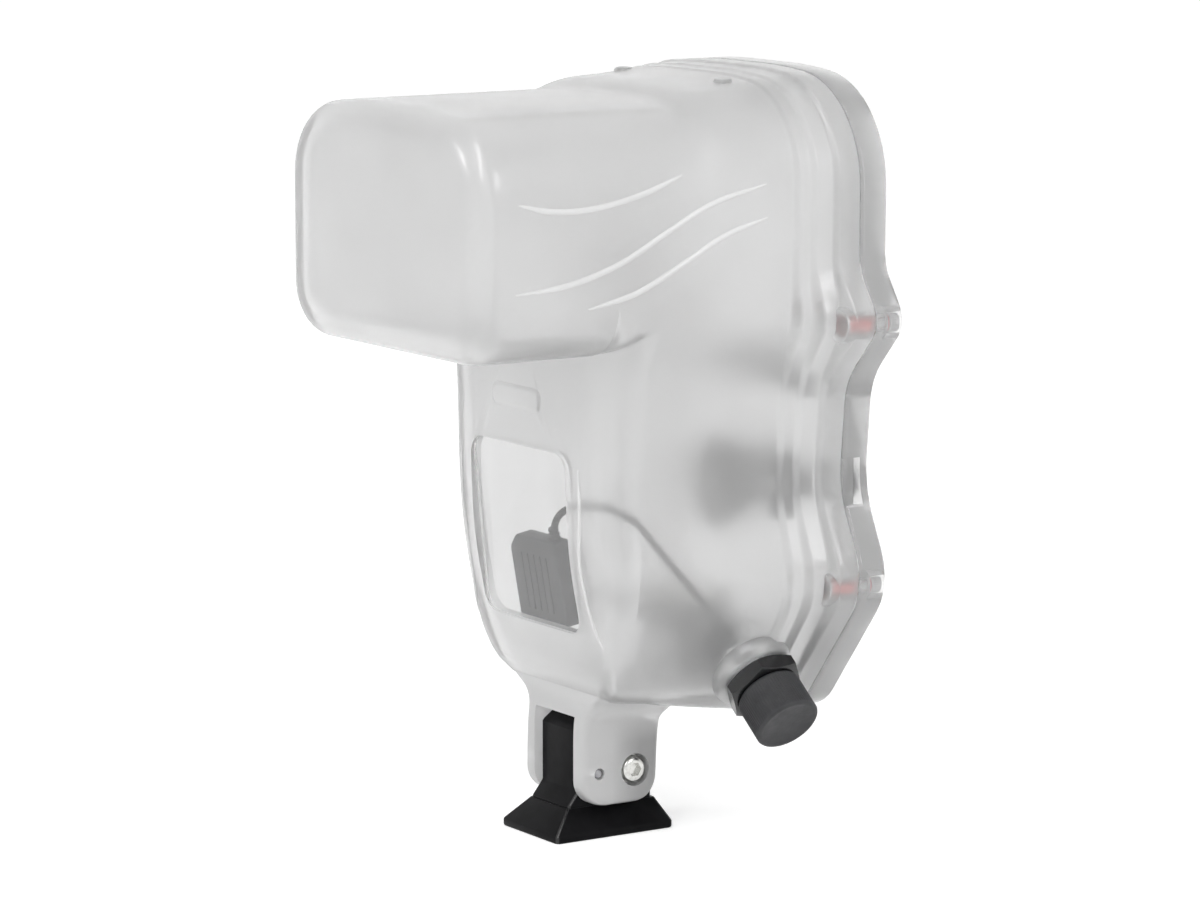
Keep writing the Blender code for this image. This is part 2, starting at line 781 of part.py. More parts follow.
def clamp_seats():
    """The bores across the lug for the clamp screw and the dowel, with the head's and the nut's seats."""
    at = (0, CLAMP_Y, CLAMP_Z)
    bore = place(tool("clamp_bore", drum(CLAMP_R + RUN, -0.02, 0.02, 16)), at, (1, 0, 0))
    head = drum(CLAMP_HEAD_R + 0.0008, LUG_HALF - WALL - 0.0001, 0.02, 24)
    counterbore = place(tool("clamp_counterbore", head), at, (1, 0, 0))
    nut = hexagon(NUT_AF + 2 * RUN, LUG_HALF - NUT_THICK - RUN, 0.02)
    nut_seat = place(tool("clamp_nut_seat", nut), at, (-1, 0, 0))
    dowel = tool("dowel_bore", drum(DOWEL_R + RUN, -0.02, 0.02, 12))
    return bore, counterbore, nut_seat, place(dowel, (0, DOWEL_Y, DOWEL_Z), (1, 0, 0))


def insert_bosses():
    """A round boss behind each ear, for the insert that is longer than the flange is thick."""
    bosses = []
    for name, (x, z) in CLOSURES.items():
        depth = INSERT_LONG + 2 * TOUCH + INSERT_WALL
        boss = drum(INSERT_R + TOUCH + INSERT_WALL, -depth, -0.002, 18)
        bosses.append(place(tool("insert_boss_" + name, boss), (x, JOINT, z), (0, 1, 0)))
    return bosses


def insert_seats():
    """The blind holes in the flange for the threaded inserts, with room ahead for the screws' ends."""
    seats = []
    for name, (x, z) in CLOSURES.items():
        hole = tool("insert_hole_" + name, drum(INSERT_R + TOUCH, -INSERT_LONG - 2 * TOUCH, 0.002, 16))
        seats.append(place(hole, (x, JOINT, z), (0, 1, 0)))
    return seats


def bracket_holes():
    holes = []
    for y in BRACKET_SPOTS:
        hole = tool("bracket_hole", drum(BRACKET_SCREW_R + RUN, -BRACKET_SCREW_DEEP - RUN, 0.004, 12))
        hole.location = (0, y, SHOE_FLOOR)
        holes.append(hole)
    return holes


def closure_inserts():
    for name, (x, z) in CLOSURES.items():
        bore = SCREW_R + RUN
        ring = turned([(INSERT_R, -TOUCH), (INSERT_R, -INSERT_LONG), (bore, -INSERT_LONG), (bore, -TOUCH)], 12)
        insert = piece("closure_insert_" + name, ring, (0.72, 0.55, 0.25), 0.35, 1.0)
        place(insert, (x, JOINT, z), (0, 1, 0))


# The foot and its fasteners


def mounting_foot():
    levels = (
        (0, FOOT_HALF_X, -FOOT_HALF_Y, FOOT_HALF_Y),
        (FOOT_PLATE, FOOT_HALF_X, -FOOT_HALF_Y, FOOT_HALF_Y),
        (SKIRT_TOP, POST_HALF + 0.0001, POST_FRONT - POST_TOE - 0.0005, POST_BACK + 0.001),
    )
    foot = piece("mounting_foot", stacked(levels, 0.0006), (0.02, 0.02, 0.022), 0.4)
    top, root = POST_TOP, FOOT_PLATE + 0.0014
    post = [
        (POST_FRONT - POST_TOE, root),
        (POST_FRONT - POST_TOE, SKIRT_TOP + 0.0006),
        (POST_FRONT, SKIRT_TOP + 0.005),
        (POST_FRONT, top - POST_CHAMFER),
        (POST_FRONT + POST_CHAMFER, top),
        (POST_BACK - POST_CHAMFER, top),
        (POST_BACK, top - POST_CHAMFER),
        (POST_BACK, root),
    ]
    post_tool = tool("foot_post", across(post, -POST_HALF, POST_HALF))
    bevel(post_tool, 0.0005)
    join(foot, post_tool)
    bore = place(tool("post_bore", drum(CLAMP_R + RUN, -0.02, 0.02, 16)), (0, CLAMP_Y, CLAMP_Z), (1, 0, 0))
    dowel_bore = tool("post_dowel_bore", drum(DOWEL_R + RUN, -0.02, 0.02, 12))
    place(dowel_bore, (0, DOWEL_Y, DOWEL_Z), (1, 0, 0))
    cut(foot, bore, dowel_bore)
    for side in (-1, 1):
        thread = tool("foot_hole", drum(FOOT_HOLE_R, -0.002, FOOT_HOLE_DEEP, 16))
        thread.location.y = side * FOOT_HOLE_SPACING / 2
        cut(foot, thread)


def socket_screw(head_r, head_h, shank_r, shank_end, socket):
    """A socket-head screw along Z with the underside of its head at zero, less its hexagon socket."""
    chamfer = 0.0004
    profile = [
        (0, head_h),
        (head_r - chamfer, head_h),
        (head_r, head_h - chamfer),
        (head_r, 0),
        (shank_r, 0),
        (shank_r, -shank_end + chamfer),
        (shank_r - chamfer, -shank_end),
        (0, -shank_end),
    ]
    return turned(profile, 16), hexagon(socket, head_h * 0.35, head_h + 0.001)


def steel(name, mesh, roughness=0.25):
    return piece(name, mesh, (0.62, 0.62, 0.60), roughness, 1.0)


def foot_fasteners():
    seat = LUG_HALF - WALL
    at = Vector((seat + TOUCH + WASHER_THICK + TOUCH, CLAMP_Y, CLAMP_Z))
    reach = at.x + LUG_HALF - 0.0008
    body, socket = socket_screw(CLAMP_HEAD_R, CLAMP_HEAD_H - 0.0006, CLAMP_R, reach, 0.004)
    screw = place(steel("foot_clamp_screw", body), at, (1, 0, 0))
    cut(screw, place(tool("clamp_socket", socket), at, (1, 0, 0)))
    bore = CLAMP_R + RUN
    high = WASHER_THICK
    washer = turned([(CLAMP_HEAD_R + 0.0003, high), (CLAMP_HEAD_R + 0.0003, 0), (bore, 0), (bore, high)], 24)
    place(steel("foot_screw_washer", washer, 0.4), (seat + TOUCH, CLAMP_Y, CLAMP_Z), (1, 0, 0))
    nut = steel("foot_clamp_nut", hexagon(NUT_AF, LUG_HALF - NUT_THICK, LUG_HALF - 0.0002), 0.4)
    place(nut, (0, CLAMP_Y, CLAMP_Z), (-1, 0, 0))
    cut(nut, place(tool("nut_bore", drum(bore, 0.01, 0.02, 16)), (0, CLAMP_Y, CLAMP_Z), (-1, 0, 0)))
    pin = drum(DOWEL_R, -LUG_HALF + 0.0005, LUG_HALF - 0.0005, 12)
    place(steel("foot_dowel_pin", pin, 0.35), (0, DOWEL_Y, DOWEL_Z), (1, 0, 0))


# The sync connector and its cap


def at_seat(made):
    return place(made, SEAT, SEAT_AXIS)


def connector():
    black = (0.02, 0.02, 0.022)
    inner = -WALL_AT_SEAT - TOUCH
    body = [
        (BARREL_R - 0.0004, BARREL_OUT),
        (BARREL_R, BARREL_OUT - 0.0004),
        (BARREL_R, inner),
        (BACK_FLANGE_R, inner),
        (BACK_FLANGE_R, inner - BACK_FLANGE_THICK),
        (BARREL_BORE, inner - BACK_FLANGE_THICK),
        (BARREL_BORE, BARREL_OUT),
    ]
    at_seat(piece("connector_body", turned(body, 22), (0.55, 0.55, 0.54), 0.35, 1.0))
    nut = at_seat(
        piece("connector_nut", hexagon(CONNECTOR_NUT_AF, TOUCH, TOUCH + CONNECTOR_NUT_THICK), black, 0.3)
    )
    bevel(nut, 0.0008)
    cut(nut, at_seat(tool("connector_nut_bore", drum(BARREL_R + RUN, -0.002, 0.012, 28))))
    seal_at(RING_R, -TOUCH - RING_R, "connector_o_ring")
    seal_at(RING_R, TOUCH + CONNECTOR_NUT_THICK + TOUCH + RING_R, "cap_o_ring")
    low, face = inner - BACK_FLANGE_THICK, BARREL_OUT - 0.006
    core = at_seat(piece("connector_insert", drum(BARREL_BORE - TOUCH, low, face, 20), black, 0.5))
    for i in range(PIN_COUNT):
        angle = 2 * math.pi * i / PIN_COUNT
        pin_mesh = drum(PIN_R, face - 0.001, face + PIN_LONG, 8)
        pin_mesh.transform(Matrix.Translation((PIN_CIRCLE * math.cos(angle), PIN_CIRCLE * math.sin(angle), 0)))
        join(core, at_seat(tool("connector_pin", pin_mesh)))


def seal_at(thick, height, name):
    """A seal ring on the connector's barrel, centred at a height over the seat."""
    middle = BARREL_R + TOUCH + thick
    round_profile = [
        (middle + thick * math.cos(-a), height + thick * math.sin(-a))
        for a in (2 * math.pi * i / 6 for i in range(6))
    ]
    at_seat(piece(name, turned(round_profile, 20), (0.02, 0.02, 0.02), 0.6))


def connector_cap():
    low = TOUCH + CONNECTOR_NUT_THICK + TOUCH
    high = low + CAP_LONG
    groove = BARREL_R + 2 * TOUCH + 2 * RING_R
    profile = [
        (0, high),
        (CAP_R - 0.0006, high),
        (CAP_R, high - 0.0006),
        (CAP_R, low + 0.0004),
        (CAP_R - 0.0004, low),
        (groove + TOUCH, low),
        (groove + TOUCH, low + 0.0022),
        (BARREL_R + RUN, low + 0.0022),
        (BARREL_R + RUN, high - CAP_FLOOR),
        (0, high - CAP_FLOOR),
    ]
    holder = carrier("cap_axis", SEAT)
    cap = at_seat(piece("connector_cap", turned(profile, 28), (0.06, 0.062, 0.065), 0.55))
    hang(cap, holder)


# Inside of the case


def hot_shoe():
    front, back = SHOE_Y
    low, high = SHOE_FLOOR, SHOE_TOP
    sheet = [
        (back, low),
        (back, low + SHEET),
        (front + SHEET, low + SHEET),
        (front + SHEET, high - SHEET),
        (back, high - SHEET),
        (back, high),
        (front, high),
        (front, low),
    ]
    bracket_mesh = across(sheet, -SHOE_HALF, SHOE_HALF)
    bracket = piece("shoe_bracket", bracket_mesh, (0.70, 0.70, 0.70), 0.4, 1.0)
    for i, y in enumerate(BRACKET_SPOTS):
        hole = tool("bracket_screw_hole", drum(BRACKET_SCREW_R + RUN, -0.001, SHEET + 0.001, 12))
        hole.location = (0, y, low)
        cut(bracket, hole)
        head = (BRACKET_HEAD_R, BRACKET_HEAD_H, BRACKET_SCREW_R, SHEET + TOUCH + BRACKET_SCREW_DEEP - 0.0003)
        body, socket = socket_screw(*head, 0.002)
        at = (0, y, low + SHEET + TOUCH)
        screw = place(steel(f"bracket_screw_{i + 1}", body), at)
        cut(screw, place(tool("bracket_socket", socket), at))
    base_low = high + TOUCH
    base_size = (2 * SHOE_HALF - 0.002, back - front - 0.004, SHOE_BASE_THICK)
    base_mesh = block(base_size, (0, (front + back) / 2, base_low + SHOE_BASE_THICK / 2))
    base = piece("shoe_base", base_mesh, (0.03, 0.03, 0.03), 0.5)
    bevel(base, 0.0006)
    rail_low = base_low + SHOE_BASE_THICK + TOUCH
    half, thick, lip = SHOE_HALF, RAIL_THICK, RAIL_LIP
    top = rail_low + RAIL_TALL
    rails = [
        (-half, rail_low),
        (-half, top),
        (-half + lip, top),
        (-half + lip, top - thick),
        (-half + thick, top - thick),
        (-half + thick, rail_low + thick),
        (half - thick, rail_low + thick),
        (half - thick, top - thick),
        (half - lip, top - thick),
        (half - lip, top),
        (half, top),
        (half, rail_low),
    ]
    steel("shoe_rails", prism(rails, front + 0.002, back - 0.002), 0.3)


def front_line():
    """Heights on the chest and how far forward the cavity reaches there, in the middle of the case."""
    return [(row[1], y) for y, row in cavity_stations()[len(hood_stations()) : -1]]


def inner_front(height):
    line = front_line()
    for (high, front), (low, back) in zip(line, line[1:]):
        if low <= height <= high:
            return front + (back - front) * (high - height) / (high - low)
    return line[-1][1]


def module_centre():
    """The module leans back behind the front wall, clear of it all the way from its lower to its upper edge."""
    lean = math.tan(MODULE_TILT)
    edge = MODULE_HEIGHT - MODULE_SIZE.y / 2 * math.sin(MODULE_TILT)
    reach = MODULE_SIZE.z / 2 * math.cos(MODULE_TILT)
    heights = [edge - reach, edge + reach, *[h for h, _ in front_line() if abs(h - edge) < reach]]
    wall = max(inner_front(h) + (h - MODULE_HEIGHT) * lean for h in heights)
    y = wall + MODULE_OFF_WALL + MODULE_SIZE.y / 2 / math.cos(MODULE_TILT)
    return Vector((MODULE_X, y, MODULE_HEIGHT))


MODULE_CENTRE = module_centre()


def interface_module():
    made = piece("interface_module", block(MODULE_SIZE), (0.11, 0.11, 0.12), 0.6)
    bevel(made, 0.0015, 2)
    made.location = MODULE_CENTRE
    made.rotation_euler = (MODULE_TILT, 0, 0)


def on_module(point):
    """A point of the module's own box, where the tilted module has it."""
    return MODULE_CENTRE + Matrix.Rotation(MODULE_TILT, 3, "X") @ Vector(point)


def lead(name, start, out, knots, end, back):
    """A lead that leaves its start and reaches its end square to what it is fixed to."""
    route = smooth_route([start + out * 0.0012, *knots, end + back * 0.0012], 3)
    piece(name, tube([start, *route, end], LEAD_R), (0.02, 0.02, 0.02), 0.5)


def leads():
    """Two thin leads, from the module to the connector's back and to the hot shoe."""
    tilt = Matrix.Rotation(MODULE_TILT, 3, "X")
    top = on_module((0.009, 0, MODULE_SIZE.z / 2 + TOUCH))
    flange = SEAT - SEAT_AXIS * (WALL_AT_SEAT + 2 * TOUCH + BACK_FLANGE_THICK)
    knots = [
        on_module((0.0115, 0.0008, MODULE_SIZE.z / 2 + 0.006)),
        Vector((0.0195, -0.0095, 0.1035)),
        Vector((0.0305, -0.007, 0.1025)),
        Vector((0.0375, -0.001, 0.095)),
        Vector((0.039, 0.008, 0.083)),
        Vector((0.038, 0.020, 0.071)),
        Vector((0.033, 0.031, 0.064)),
        flange - SEAT_AXIS * 0.005,
    ]
    lead("connector_lead", top, tilt @ Vector((0, 0, 1)), knots, flange, -SEAT_AXIS)
    behind = MODULE_SIZE.y / 2 + TOUCH
    shoe = Vector((0.0, SHOE_Y[0] + 0.002 - TOUCH, SHOE_TOP + TOUCH + SHOE_BASE_THICK / 2))
    knots = [
        on_module((-0.004, behind + 0.005, -0.0085)),
        on_module((-0.003, behind + 0.013, -0.010)),
        shoe + Vector((0, -0.008, 0.0008)),
    ]
    out = tilt @ Vector((0, 1, 0))
    lead("shoe_lead", on_module((-0.004, behind, -0.008)), out, knots, shoe, Vector((0, -1, 0)))


# The cover and what it carries


def rear_cover():
    outline = [tuple(p) for p in rounded(*RIM)]
    cover = clear_plastic("rear_cover", prism(outline, COVER_FRONT, COVER_BACK))
    bevel(cover, COVER_BEVEL)
    lip_out = [tuple(p) for p in rounded(*inset(*MOUTH, LIP_GAP))]
    lip = tool("cover_lip", prism(lip_out, JOINT - LIP_DEEP, COVER_FRONT + 0.001))
    join(cover, lip)
    pocket_outline = [tuple(p) for p in rounded(*inset(*MOUTH, LIP_GAP + LIP_THICK))]
    pocket = tool("cover_pocket", prism(pocket_outline, JOINT - LIP_DEEP - 0.002, PANEL_FRONT))
    half = SEAL_R + SEAL_ROOM
    groove_outline = [tuple(p) for p in rounded(*inset(*SEAL, -half))]
    groove = tool("seal_groove", prism(groove_outline, JOINT - 0.001, COVER_FRONT + 2 * SEAL_R + SEAL_ROOM))
    core_outline = [tuple(p) for p in rounded(*inset(*SEAL, half))]
    core = tool("seal_groove_core", prism(core_outline, JOINT - 0.002, COVER_FRONT + 2 * SEAL_R + 0.002))
    cut(groove, core)
    cut(cover, pocket, groove)
    for side in (-1, 1):
        size = (2 * NOTCH_DEEP, NOTCH_LONG, NOTCH_TALL)
        middle = (side * (RIM_HALF - 0.0095), COVER_FRONT + NOTCH_LONG / 2 - 0.0005, NOTCH_HEIGHT)
        cut(cover, tool("pry_notch", block(size, middle)))
    for name, (x, z) in CLOSURES.items():
        bore = tool("closure_bore_" + name, drum(SCREW_R + RUN, -0.001, COVER_THICK + 0.001, 16))
        cut(cover, place(bore, (x, COVER_FRONT, z), (0, 1, 0)))
        seat = COVER_THICK - SCREW_HEAD_H - WASHER_THICK - 3 * TOUCH
        head = tool("closure_head_seat_" + name, drum(SCREW_HEAD_R + 0.0006, seat, COVER_THICK + 0.001, 20))
        cut(cover, place(head, (x, COVER_FRONT, z), (0, 1, 0)))
    for x, z in (*BUTTON_SPOTS, SELECT_SPOT, POWER_SPOT):
        hole = tool("gland_hole", drum(GLAND_R + TOUCH, -0.001, PANEL_THICK + 0.001, 20))
        cut(cover, place(hole, (x, PANEL_FRONT, z), (0, 1, 0)))
    smooth(cover.data)
    return cover


def cover_seal():
    points = [(p.x, COVER_FRONT + SEAL_R, p.y) for p in rounded(*SEAL)]
    return piece("cover_o_ring", tube(points, SEAL_R, closed=True), (0.02, 0.02, 0.02), 0.5)


def closure_screws(holder):
    seat = COVER_BACK - SCREW_HEAD_H - WASHER_THICK - 3 * TOUCH
    for name, (x, z) in CLOSURES.items():
        bore = SCREW_R + RUN
        ring = [(SCREW_HEAD_R, WASHER_THICK), (SCREW_HEAD_R, 0), (bore, 0), (bore, WASHER_THICK)]
        washer = piece("closure_washer_" + name, turned(ring, 14), (0.55, 0.06, 0.08), 0.5)
        hang(place(washer, (x, seat + TOUCH, z), (0, 1, 0)), holder)
        at = Vector((x, seat + 2 * TOUCH + WASHER_THICK, z))
        reach = at.y - JOINT + SCREW_REACH
        body, socket = socket_screw(SCREW_HEAD_R, SCREW_HEAD_H, SCREW_R, reach, SOCKET_AF)
        axis = carrier("closure_axis_" + name, at, holder)
        screw = place(steel("closure_screw_" + name, body), at, (0, 1, 0))
        cut(screw, place(tool("closure_socket_" + name, socket), at, (0, 1, 0)))
        hang(screw, axis)


def gland(name, spot, shaft):
    """A flanged bush in the panel that a shaft runs in."""
    x, z = spot
    low, high = -GLAND_PROUD, PANEL_THICK + TOUCH
    bore = shaft + RUN
    profile = [
        (GLAND_FLANGE_R - 0.0004, high + GLAND_FLANGE_THICK),
        (GLAND_FLANGE_R, high + GLAND_FLANGE_THICK - 0.0004),
        (GLAND_FLANGE_R, high),
        (GLAND_R, high),
        (GLAND_R, low),
        (bore, low),
        (bore, high + GLAND_FLANGE_THICK),
    ]
    made = piece(name, turned(profile, 16), (0.30, 0.30, 0.31), 0.4, 1.0)
    return place(made, (x, PANEL_FRONT, z), (0, 1, 0))


def stepped_shaft(radius, low, high, clip_low):
    """The outer side of a shaft from top to bottom, with the groove that its clip snaps into."""
    neck = radius - CLIP_GROOVE
    edge = CLIP_THICK + TOUCH
    return [
        (radius, high),
        (radius, clip_low + edge),
        (neck, clip_low + edge),
        (neck, clip_low - TOUCH),
        (radius, clip_low - TOUCH),
        (radius, low),
    ]


def push_buttons(holder):
    face = PANEL_FRONT + PANEL_THICK + TOUCH + GLAND_FLANGE_THICK
    clip_low = PANEL_FRONT - GLAND_PROUD - TOUCH - CLIP_THICK
    for number, (x, z) in enumerate(BUTTON_SPOTS, start=1):
        hang(gland(f"button_gland_{number}", (x, z), SHAFT_R), holder)
        axis = carrier(f"button_axis_{number}", (x, face, z), holder)
        under = BUTTON_GAP
        top = under + BUTTON_THICK
        low = PANEL_FRONT - BUTTON_REACH - face
        head = [
            (0, top),
            (BUTTON_R - 0.001, top),
            (BUTTON_R, top - 0.001),
            (BUTTON_R, under),
        ]
        shaft = stepped_shaft(SHAFT_R, low, under, clip_low - face)
        profile = [*head, *shaft, (0, low)]
        button = piece(f"push_button_{number}", turned(profile, 18), (0.50, 0.50, 0.50), 0.35, 1.0)
        hang(place(button, (x, face, z), (0, 1, 0)), axis)
        hole = SHAFT_R - CLIP_GROOVE + RUN
        ring = [(CLIP_R, CLIP_THICK), (CLIP_R, 0), (hole, 0), (hole, CLIP_THICK)]
        clip = steel(f"button_clip_{number}", turned(ring, 14), 0.3)
        hang(place(clip, (x, clip_low, z), (0, 1, 0)), axis)
        spring = steel(f"button_spring_{number}", tube(spring_points(x, face, z), SPRING_WIRE_R), 0.25)
        hang(spring, axis)


def spring_points(x, face, z):
    """One button's return spring, a helix between the gland and the button's head."""
    start = face + TOUCH + SPRING_WIRE_R
    end = face + BUTTON_GAP - TOUCH - SPRING_WIRE_R
    count = round(8 * SPRING_TURNS)
    points = []
    for i in range(count + 1):
        angle = 2 * math.pi * i / 8
        y = start + (end - start) * i / count
        points.append((x + SPRING_R * math.cos(angle), y, z + SPRING_R * math.sin(angle)))
    return points


def spring_gap():
    """The least clear distance between two turns of the spring."""
    points = [Vector(p) for p in spring_points(0, 0, 0)]
    apart = [
        (points[i] - points[j]).length
        for i in range(len(points))
        for j in range(i + 6, len(points))
    ]
    return min(apart) - 2 * SPRING_WIRE_R


def rotary(name, spot, holder, head_thick, reach):
    """A control's gland, its axis and its shaft, from the knob's middle to the piece inside."""
    x, z = spot
    face = PANEL_FRONT + PANEL_THICK + TOUCH + GLAND_FLANGE_THICK
    hang(gland(f"{name}_gland", spot, KNOB_SHAFT_R), holder)
    axis = carrier(f"{name}_axis", (x, face, z), holder)
    low, high = PANEL_FRONT - reach - face, head_thick * 0.6
    profile = [(0, high), (KNOB_SHAFT_R, high), (KNOB_SHAFT_R, low), (0, low)]
    shaft = steel(f"{name}_shaft", turned(profile, 20), 0.3)
    hang(place(shaft, (x, face, z), (0, 1, 0)), axis)
    return axis, Vector((x, face, z)), face + high


def knob_bore(name, at, shaft_end):
    bore = tool(name + "_knob_bore", drum(KNOB_SHAFT_R + TOUCH, -0.002, shaft_end - at.y + TOUCH, 20))
    return place(bore, at, (0, 1, 0))


def select_control(holder):
    axis, at, shaft_end = rotary("select", SELECT_SPOT, holder, SELECT_THICK, WHEEL_REACH)
    profile = [
        (0, SELECT_THICK),
        (SELECT_R - 0.0012, SELECT_THICK),
        (SELECT_R, SELECT_THICK - 0.0012),
        (SELECT_R, TOUCH),
        (0, TOUCH),
    ]
    knob = piece("select_knob", turned(profile, 40), (0.03, 0.03, 0.03), 0.45)
    hang(place(knob, at, (0, 1, 0)), axis)
    cut(knob, knob_bore("select", at, shaft_end))
    for i in range(SELECT_FLUTES):
        angle = 2 * math.pi * (i + 0.5) / SELECT_FLUTES
        flute = tool("select_flute", drum(SELECT_FLUTE_R, -0.002, SELECT_THICK + 0.002, 10))
        reach = SELECT_R + 0.0008
        spot = at + Vector((reach * math.cos(angle), 0, reach * math.sin(angle)))
        cut(knob, place(flute, spot, (0, 1, 0)))
    low = PANEL_FRONT - WHEEL_REACH + 0.0005
    hole = KNOB_SHAFT_R + TOUCH
    ring = [
        (WHEEL_R - 0.0008, WHEEL_THICK),
        (WHEEL_R, WHEEL_THICK - 0.0008),
        (WHEEL_R, 0.0008),
        (WHEEL_R - 0.0008, 0),
        (hole, 0),
        (hole, WHEEL_THICK),
    ]
    wheel = piece("select_wheel", turned(ring, 24), (0.03, 0.03, 0.03), 0.7)
    hang(place(wheel, (at.x, low, at.z), (0, 1, 0)), axis)


def power_control(holder):
    axis, at, shaft_end = rotary("power", POWER_SPOT, holder, POWER_THICK, FORK_REACH)
    profile = [
        (0, POWER_THICK),
        (POWER_R - 0.0008, POWER_THICK),
        (POWER_R, POWER_THICK - 0.0008),
        (POWER_R, TOUCH),
        (0, TOUCH),
    ]
    knob = piece("power_knob", turned(profile, 24), (0.03, 0.03, 0.03), 0.45)
    hang(place(knob, at, (0, 1, 0)), axis)
    grip = block((POWER_GRIP, POWER_THICK * 0.4, 2 * POWER_R + 0.002), (0, POWER_THICK * 0.9, 0))
    grip_tool = tool("power_grip", grip)
    grip_tool.location = at
    join(knob, grip_tool)
    cut(knob, knob_bore("power", at, shaft_end))
    low = PANEL_FRONT - FORK_REACH + 0.0005
    middle = (at.x, low + FORK_THICK / 2, at.z)
    fork = piece("power_fork", block((FORK_WIDE, FORK_THICK, FORK_TALL)), (0.03, 0.03, 0.03), 0.5)
    fork.location = middle
    bore = tool("fork_bore", drum(KNOB_SHAFT_R + TOUCH, -0.002, FORK_THICK + 0.002, 20))
    slot = tool("fork_slot", block((FORK_SLOT, FORK_THICK + 0.002, 0.007), (0, 0, -FORK_TALL / 2 + 0.003)))
    slot.location = middle
    cut(fork, place(bore, (at.x, low, at.z), (0, 1, 0)), slot)
    hang(fork, axis)


def build():
    front_shell()
    closure_inserts()
    mounting_foot()
    foot_fasteners()
    connector()
    connector_cap()
    hot_shoe()
    interface_module()
    leads()
    holder = carrier("cover_axis", (0, JOINT, 0))
    hang(rear_cover(), holder)
    hang(cover_seal(), holder)
    closure_screws(holder)
    push_buttons(holder)
    select_control(holder)
    power_control(holder)
    bpy.context.view_layer.update()
    print(f"least gap between the turns of a button spring: {spring_gap() * 1000:.2f} mm")


build()
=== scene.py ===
"""Looks for the underwater flash housing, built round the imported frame.

Metres, +Z up, and the flash fires along -Y. Finer pieces stand for the frame's nodes, each where its node is.
"""

import json
import math

import bmesh
import bpy
from mathutils import Matrix, Vector
from mathutils.bvhtree import BVHTree

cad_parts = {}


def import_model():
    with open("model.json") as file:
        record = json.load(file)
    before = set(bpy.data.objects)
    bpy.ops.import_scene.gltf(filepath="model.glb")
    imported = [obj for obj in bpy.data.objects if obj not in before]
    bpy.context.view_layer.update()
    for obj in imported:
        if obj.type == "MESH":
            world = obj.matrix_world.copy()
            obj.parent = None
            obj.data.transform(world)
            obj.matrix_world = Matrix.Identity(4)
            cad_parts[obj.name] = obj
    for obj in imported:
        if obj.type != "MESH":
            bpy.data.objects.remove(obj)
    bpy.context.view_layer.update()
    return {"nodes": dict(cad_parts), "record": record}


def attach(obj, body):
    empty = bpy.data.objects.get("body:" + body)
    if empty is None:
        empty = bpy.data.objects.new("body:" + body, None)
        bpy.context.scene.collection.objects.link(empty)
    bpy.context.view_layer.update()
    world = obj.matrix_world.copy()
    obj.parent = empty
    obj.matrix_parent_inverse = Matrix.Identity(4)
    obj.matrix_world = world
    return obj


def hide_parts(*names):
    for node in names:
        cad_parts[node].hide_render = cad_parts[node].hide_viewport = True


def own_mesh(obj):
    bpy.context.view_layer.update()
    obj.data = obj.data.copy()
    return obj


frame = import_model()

NODES = frame["nodes"]
BODY_OF = {node: body for body, nodes in frame["record"]["behaviour"]["bodies"].items() for node in nodes}
SLOT_OF = {row["node"]: row["material_slot"] for row in frame["record"]["subparts"]}
RIGHT, LEFT, BACK, UP = (1, 0, 0), (-1, 0, 0), (0, 1, 0), (0, 0, 1)

# The case's sizes, as in the CAD source
TOUCH = RUN = 0.0003
WALL, FRONT_WALL = 0.0035, 0.0045
HOOD_HALF, HOOD_FRONT, HOOD_BOTTOM, HOOD_HEIGHT = 0.0565, -0.0735, 0.154, 0.0745
HOOD_CORNER, HOOD_EDGE = 0.021, 0.008
CHEST_FRONT, CHEST_HALF, CASE_BOTTOM = -0.0253, 0.0446, 0.0355
RIM_HALF, RIM_RISE, RIM_THICK, RIM_CHAMFER = 0.061, 0.007, 0.007, 0.0008
BODY_BACK, JOINT, LAND = 0.0365, 0.0585, 0.0095
EAR_REACH, EAR_HEIGHT, EAR_TO_SCREW = 0.0125, 0.1605, 0.0092
FLARE_HEIGHT, FLARE_REACH = 0.079, 0.0045
SCREW_R, SCREW_HEAD_R, SCREW_HEAD_H, WASHER_THICK = 0.0019, 0.0035, 0.0035, 0.0008
INSERT_R, INSERT_LONG, INSERT_WALL = 0.003, 0.008, 0.0022
COVER_THICK, PANEL_THICK = 0.0097, 0.0062
LIP_DEEP, LIP_THICK, LIP_GAP = 0.003, 0.003, 0.0005
SEAL_R, SEAL_FROM_MOUTH, SEAL_ROOM = 0.0015, 0.0032, 0.0003
NOTCH_HEIGHT, NOTCH_TALL, NOTCH_DEEP, NOTCH_LONG = 0.110, 0.015, 0.0025, 0.007
POST_HALF, POST_TOP = 0.0108, 0.0377
LUG_HALF, LUG_FRONT, LUG_LOW_BACK, LUG_BOTTOM = 0.017, -0.0124, 0.0150, 0.0102
LUG_ROUND, LUG_RIM = 0.008, 0.0014
CLAMP_Y, CLAMP_Z, CLAMP_R, CLAMP_HEAD_R = 0.0065, 0.0204, 0.0025, 0.0043
DOWEL_Y, DOWEL_Z, DOWEL_R = -0.0066, 0.0205, 0.0015
NUT_AF, NUT_THICK = 0.008, 0.0028
SEAT = Vector((0.0397, 0.037, 0.0496))
SEAT_SLOPE = math.radians(-37.2)
SEAT_AXIS = Vector((math.cos(SEAT_SLOPE), 0, math.sin(SEAT_SLOPE)))
BOSS_R, BARREL_R, WALL_AT_SEAT, BACK_FLANGE_R, RING_R = 0.0142, 0.007, 0.0056, 0.0105, 0.0007
BACK_FLANGE_THICK, CONNECTOR_NUT_AF, CONNECTOR_NUT_THICK = 0.0025, 0.022, 0.0055
BUTTON_SPOTS = ((-0.027, 0.140), (-0.009, 0.140), (0.009, 0.140), (0.027, 0.140))
BUTTON_TRAVEL, BUTTON_SHAFT_R, SPRING_WIRE_R = 0.002, 0.0016, 0.0003
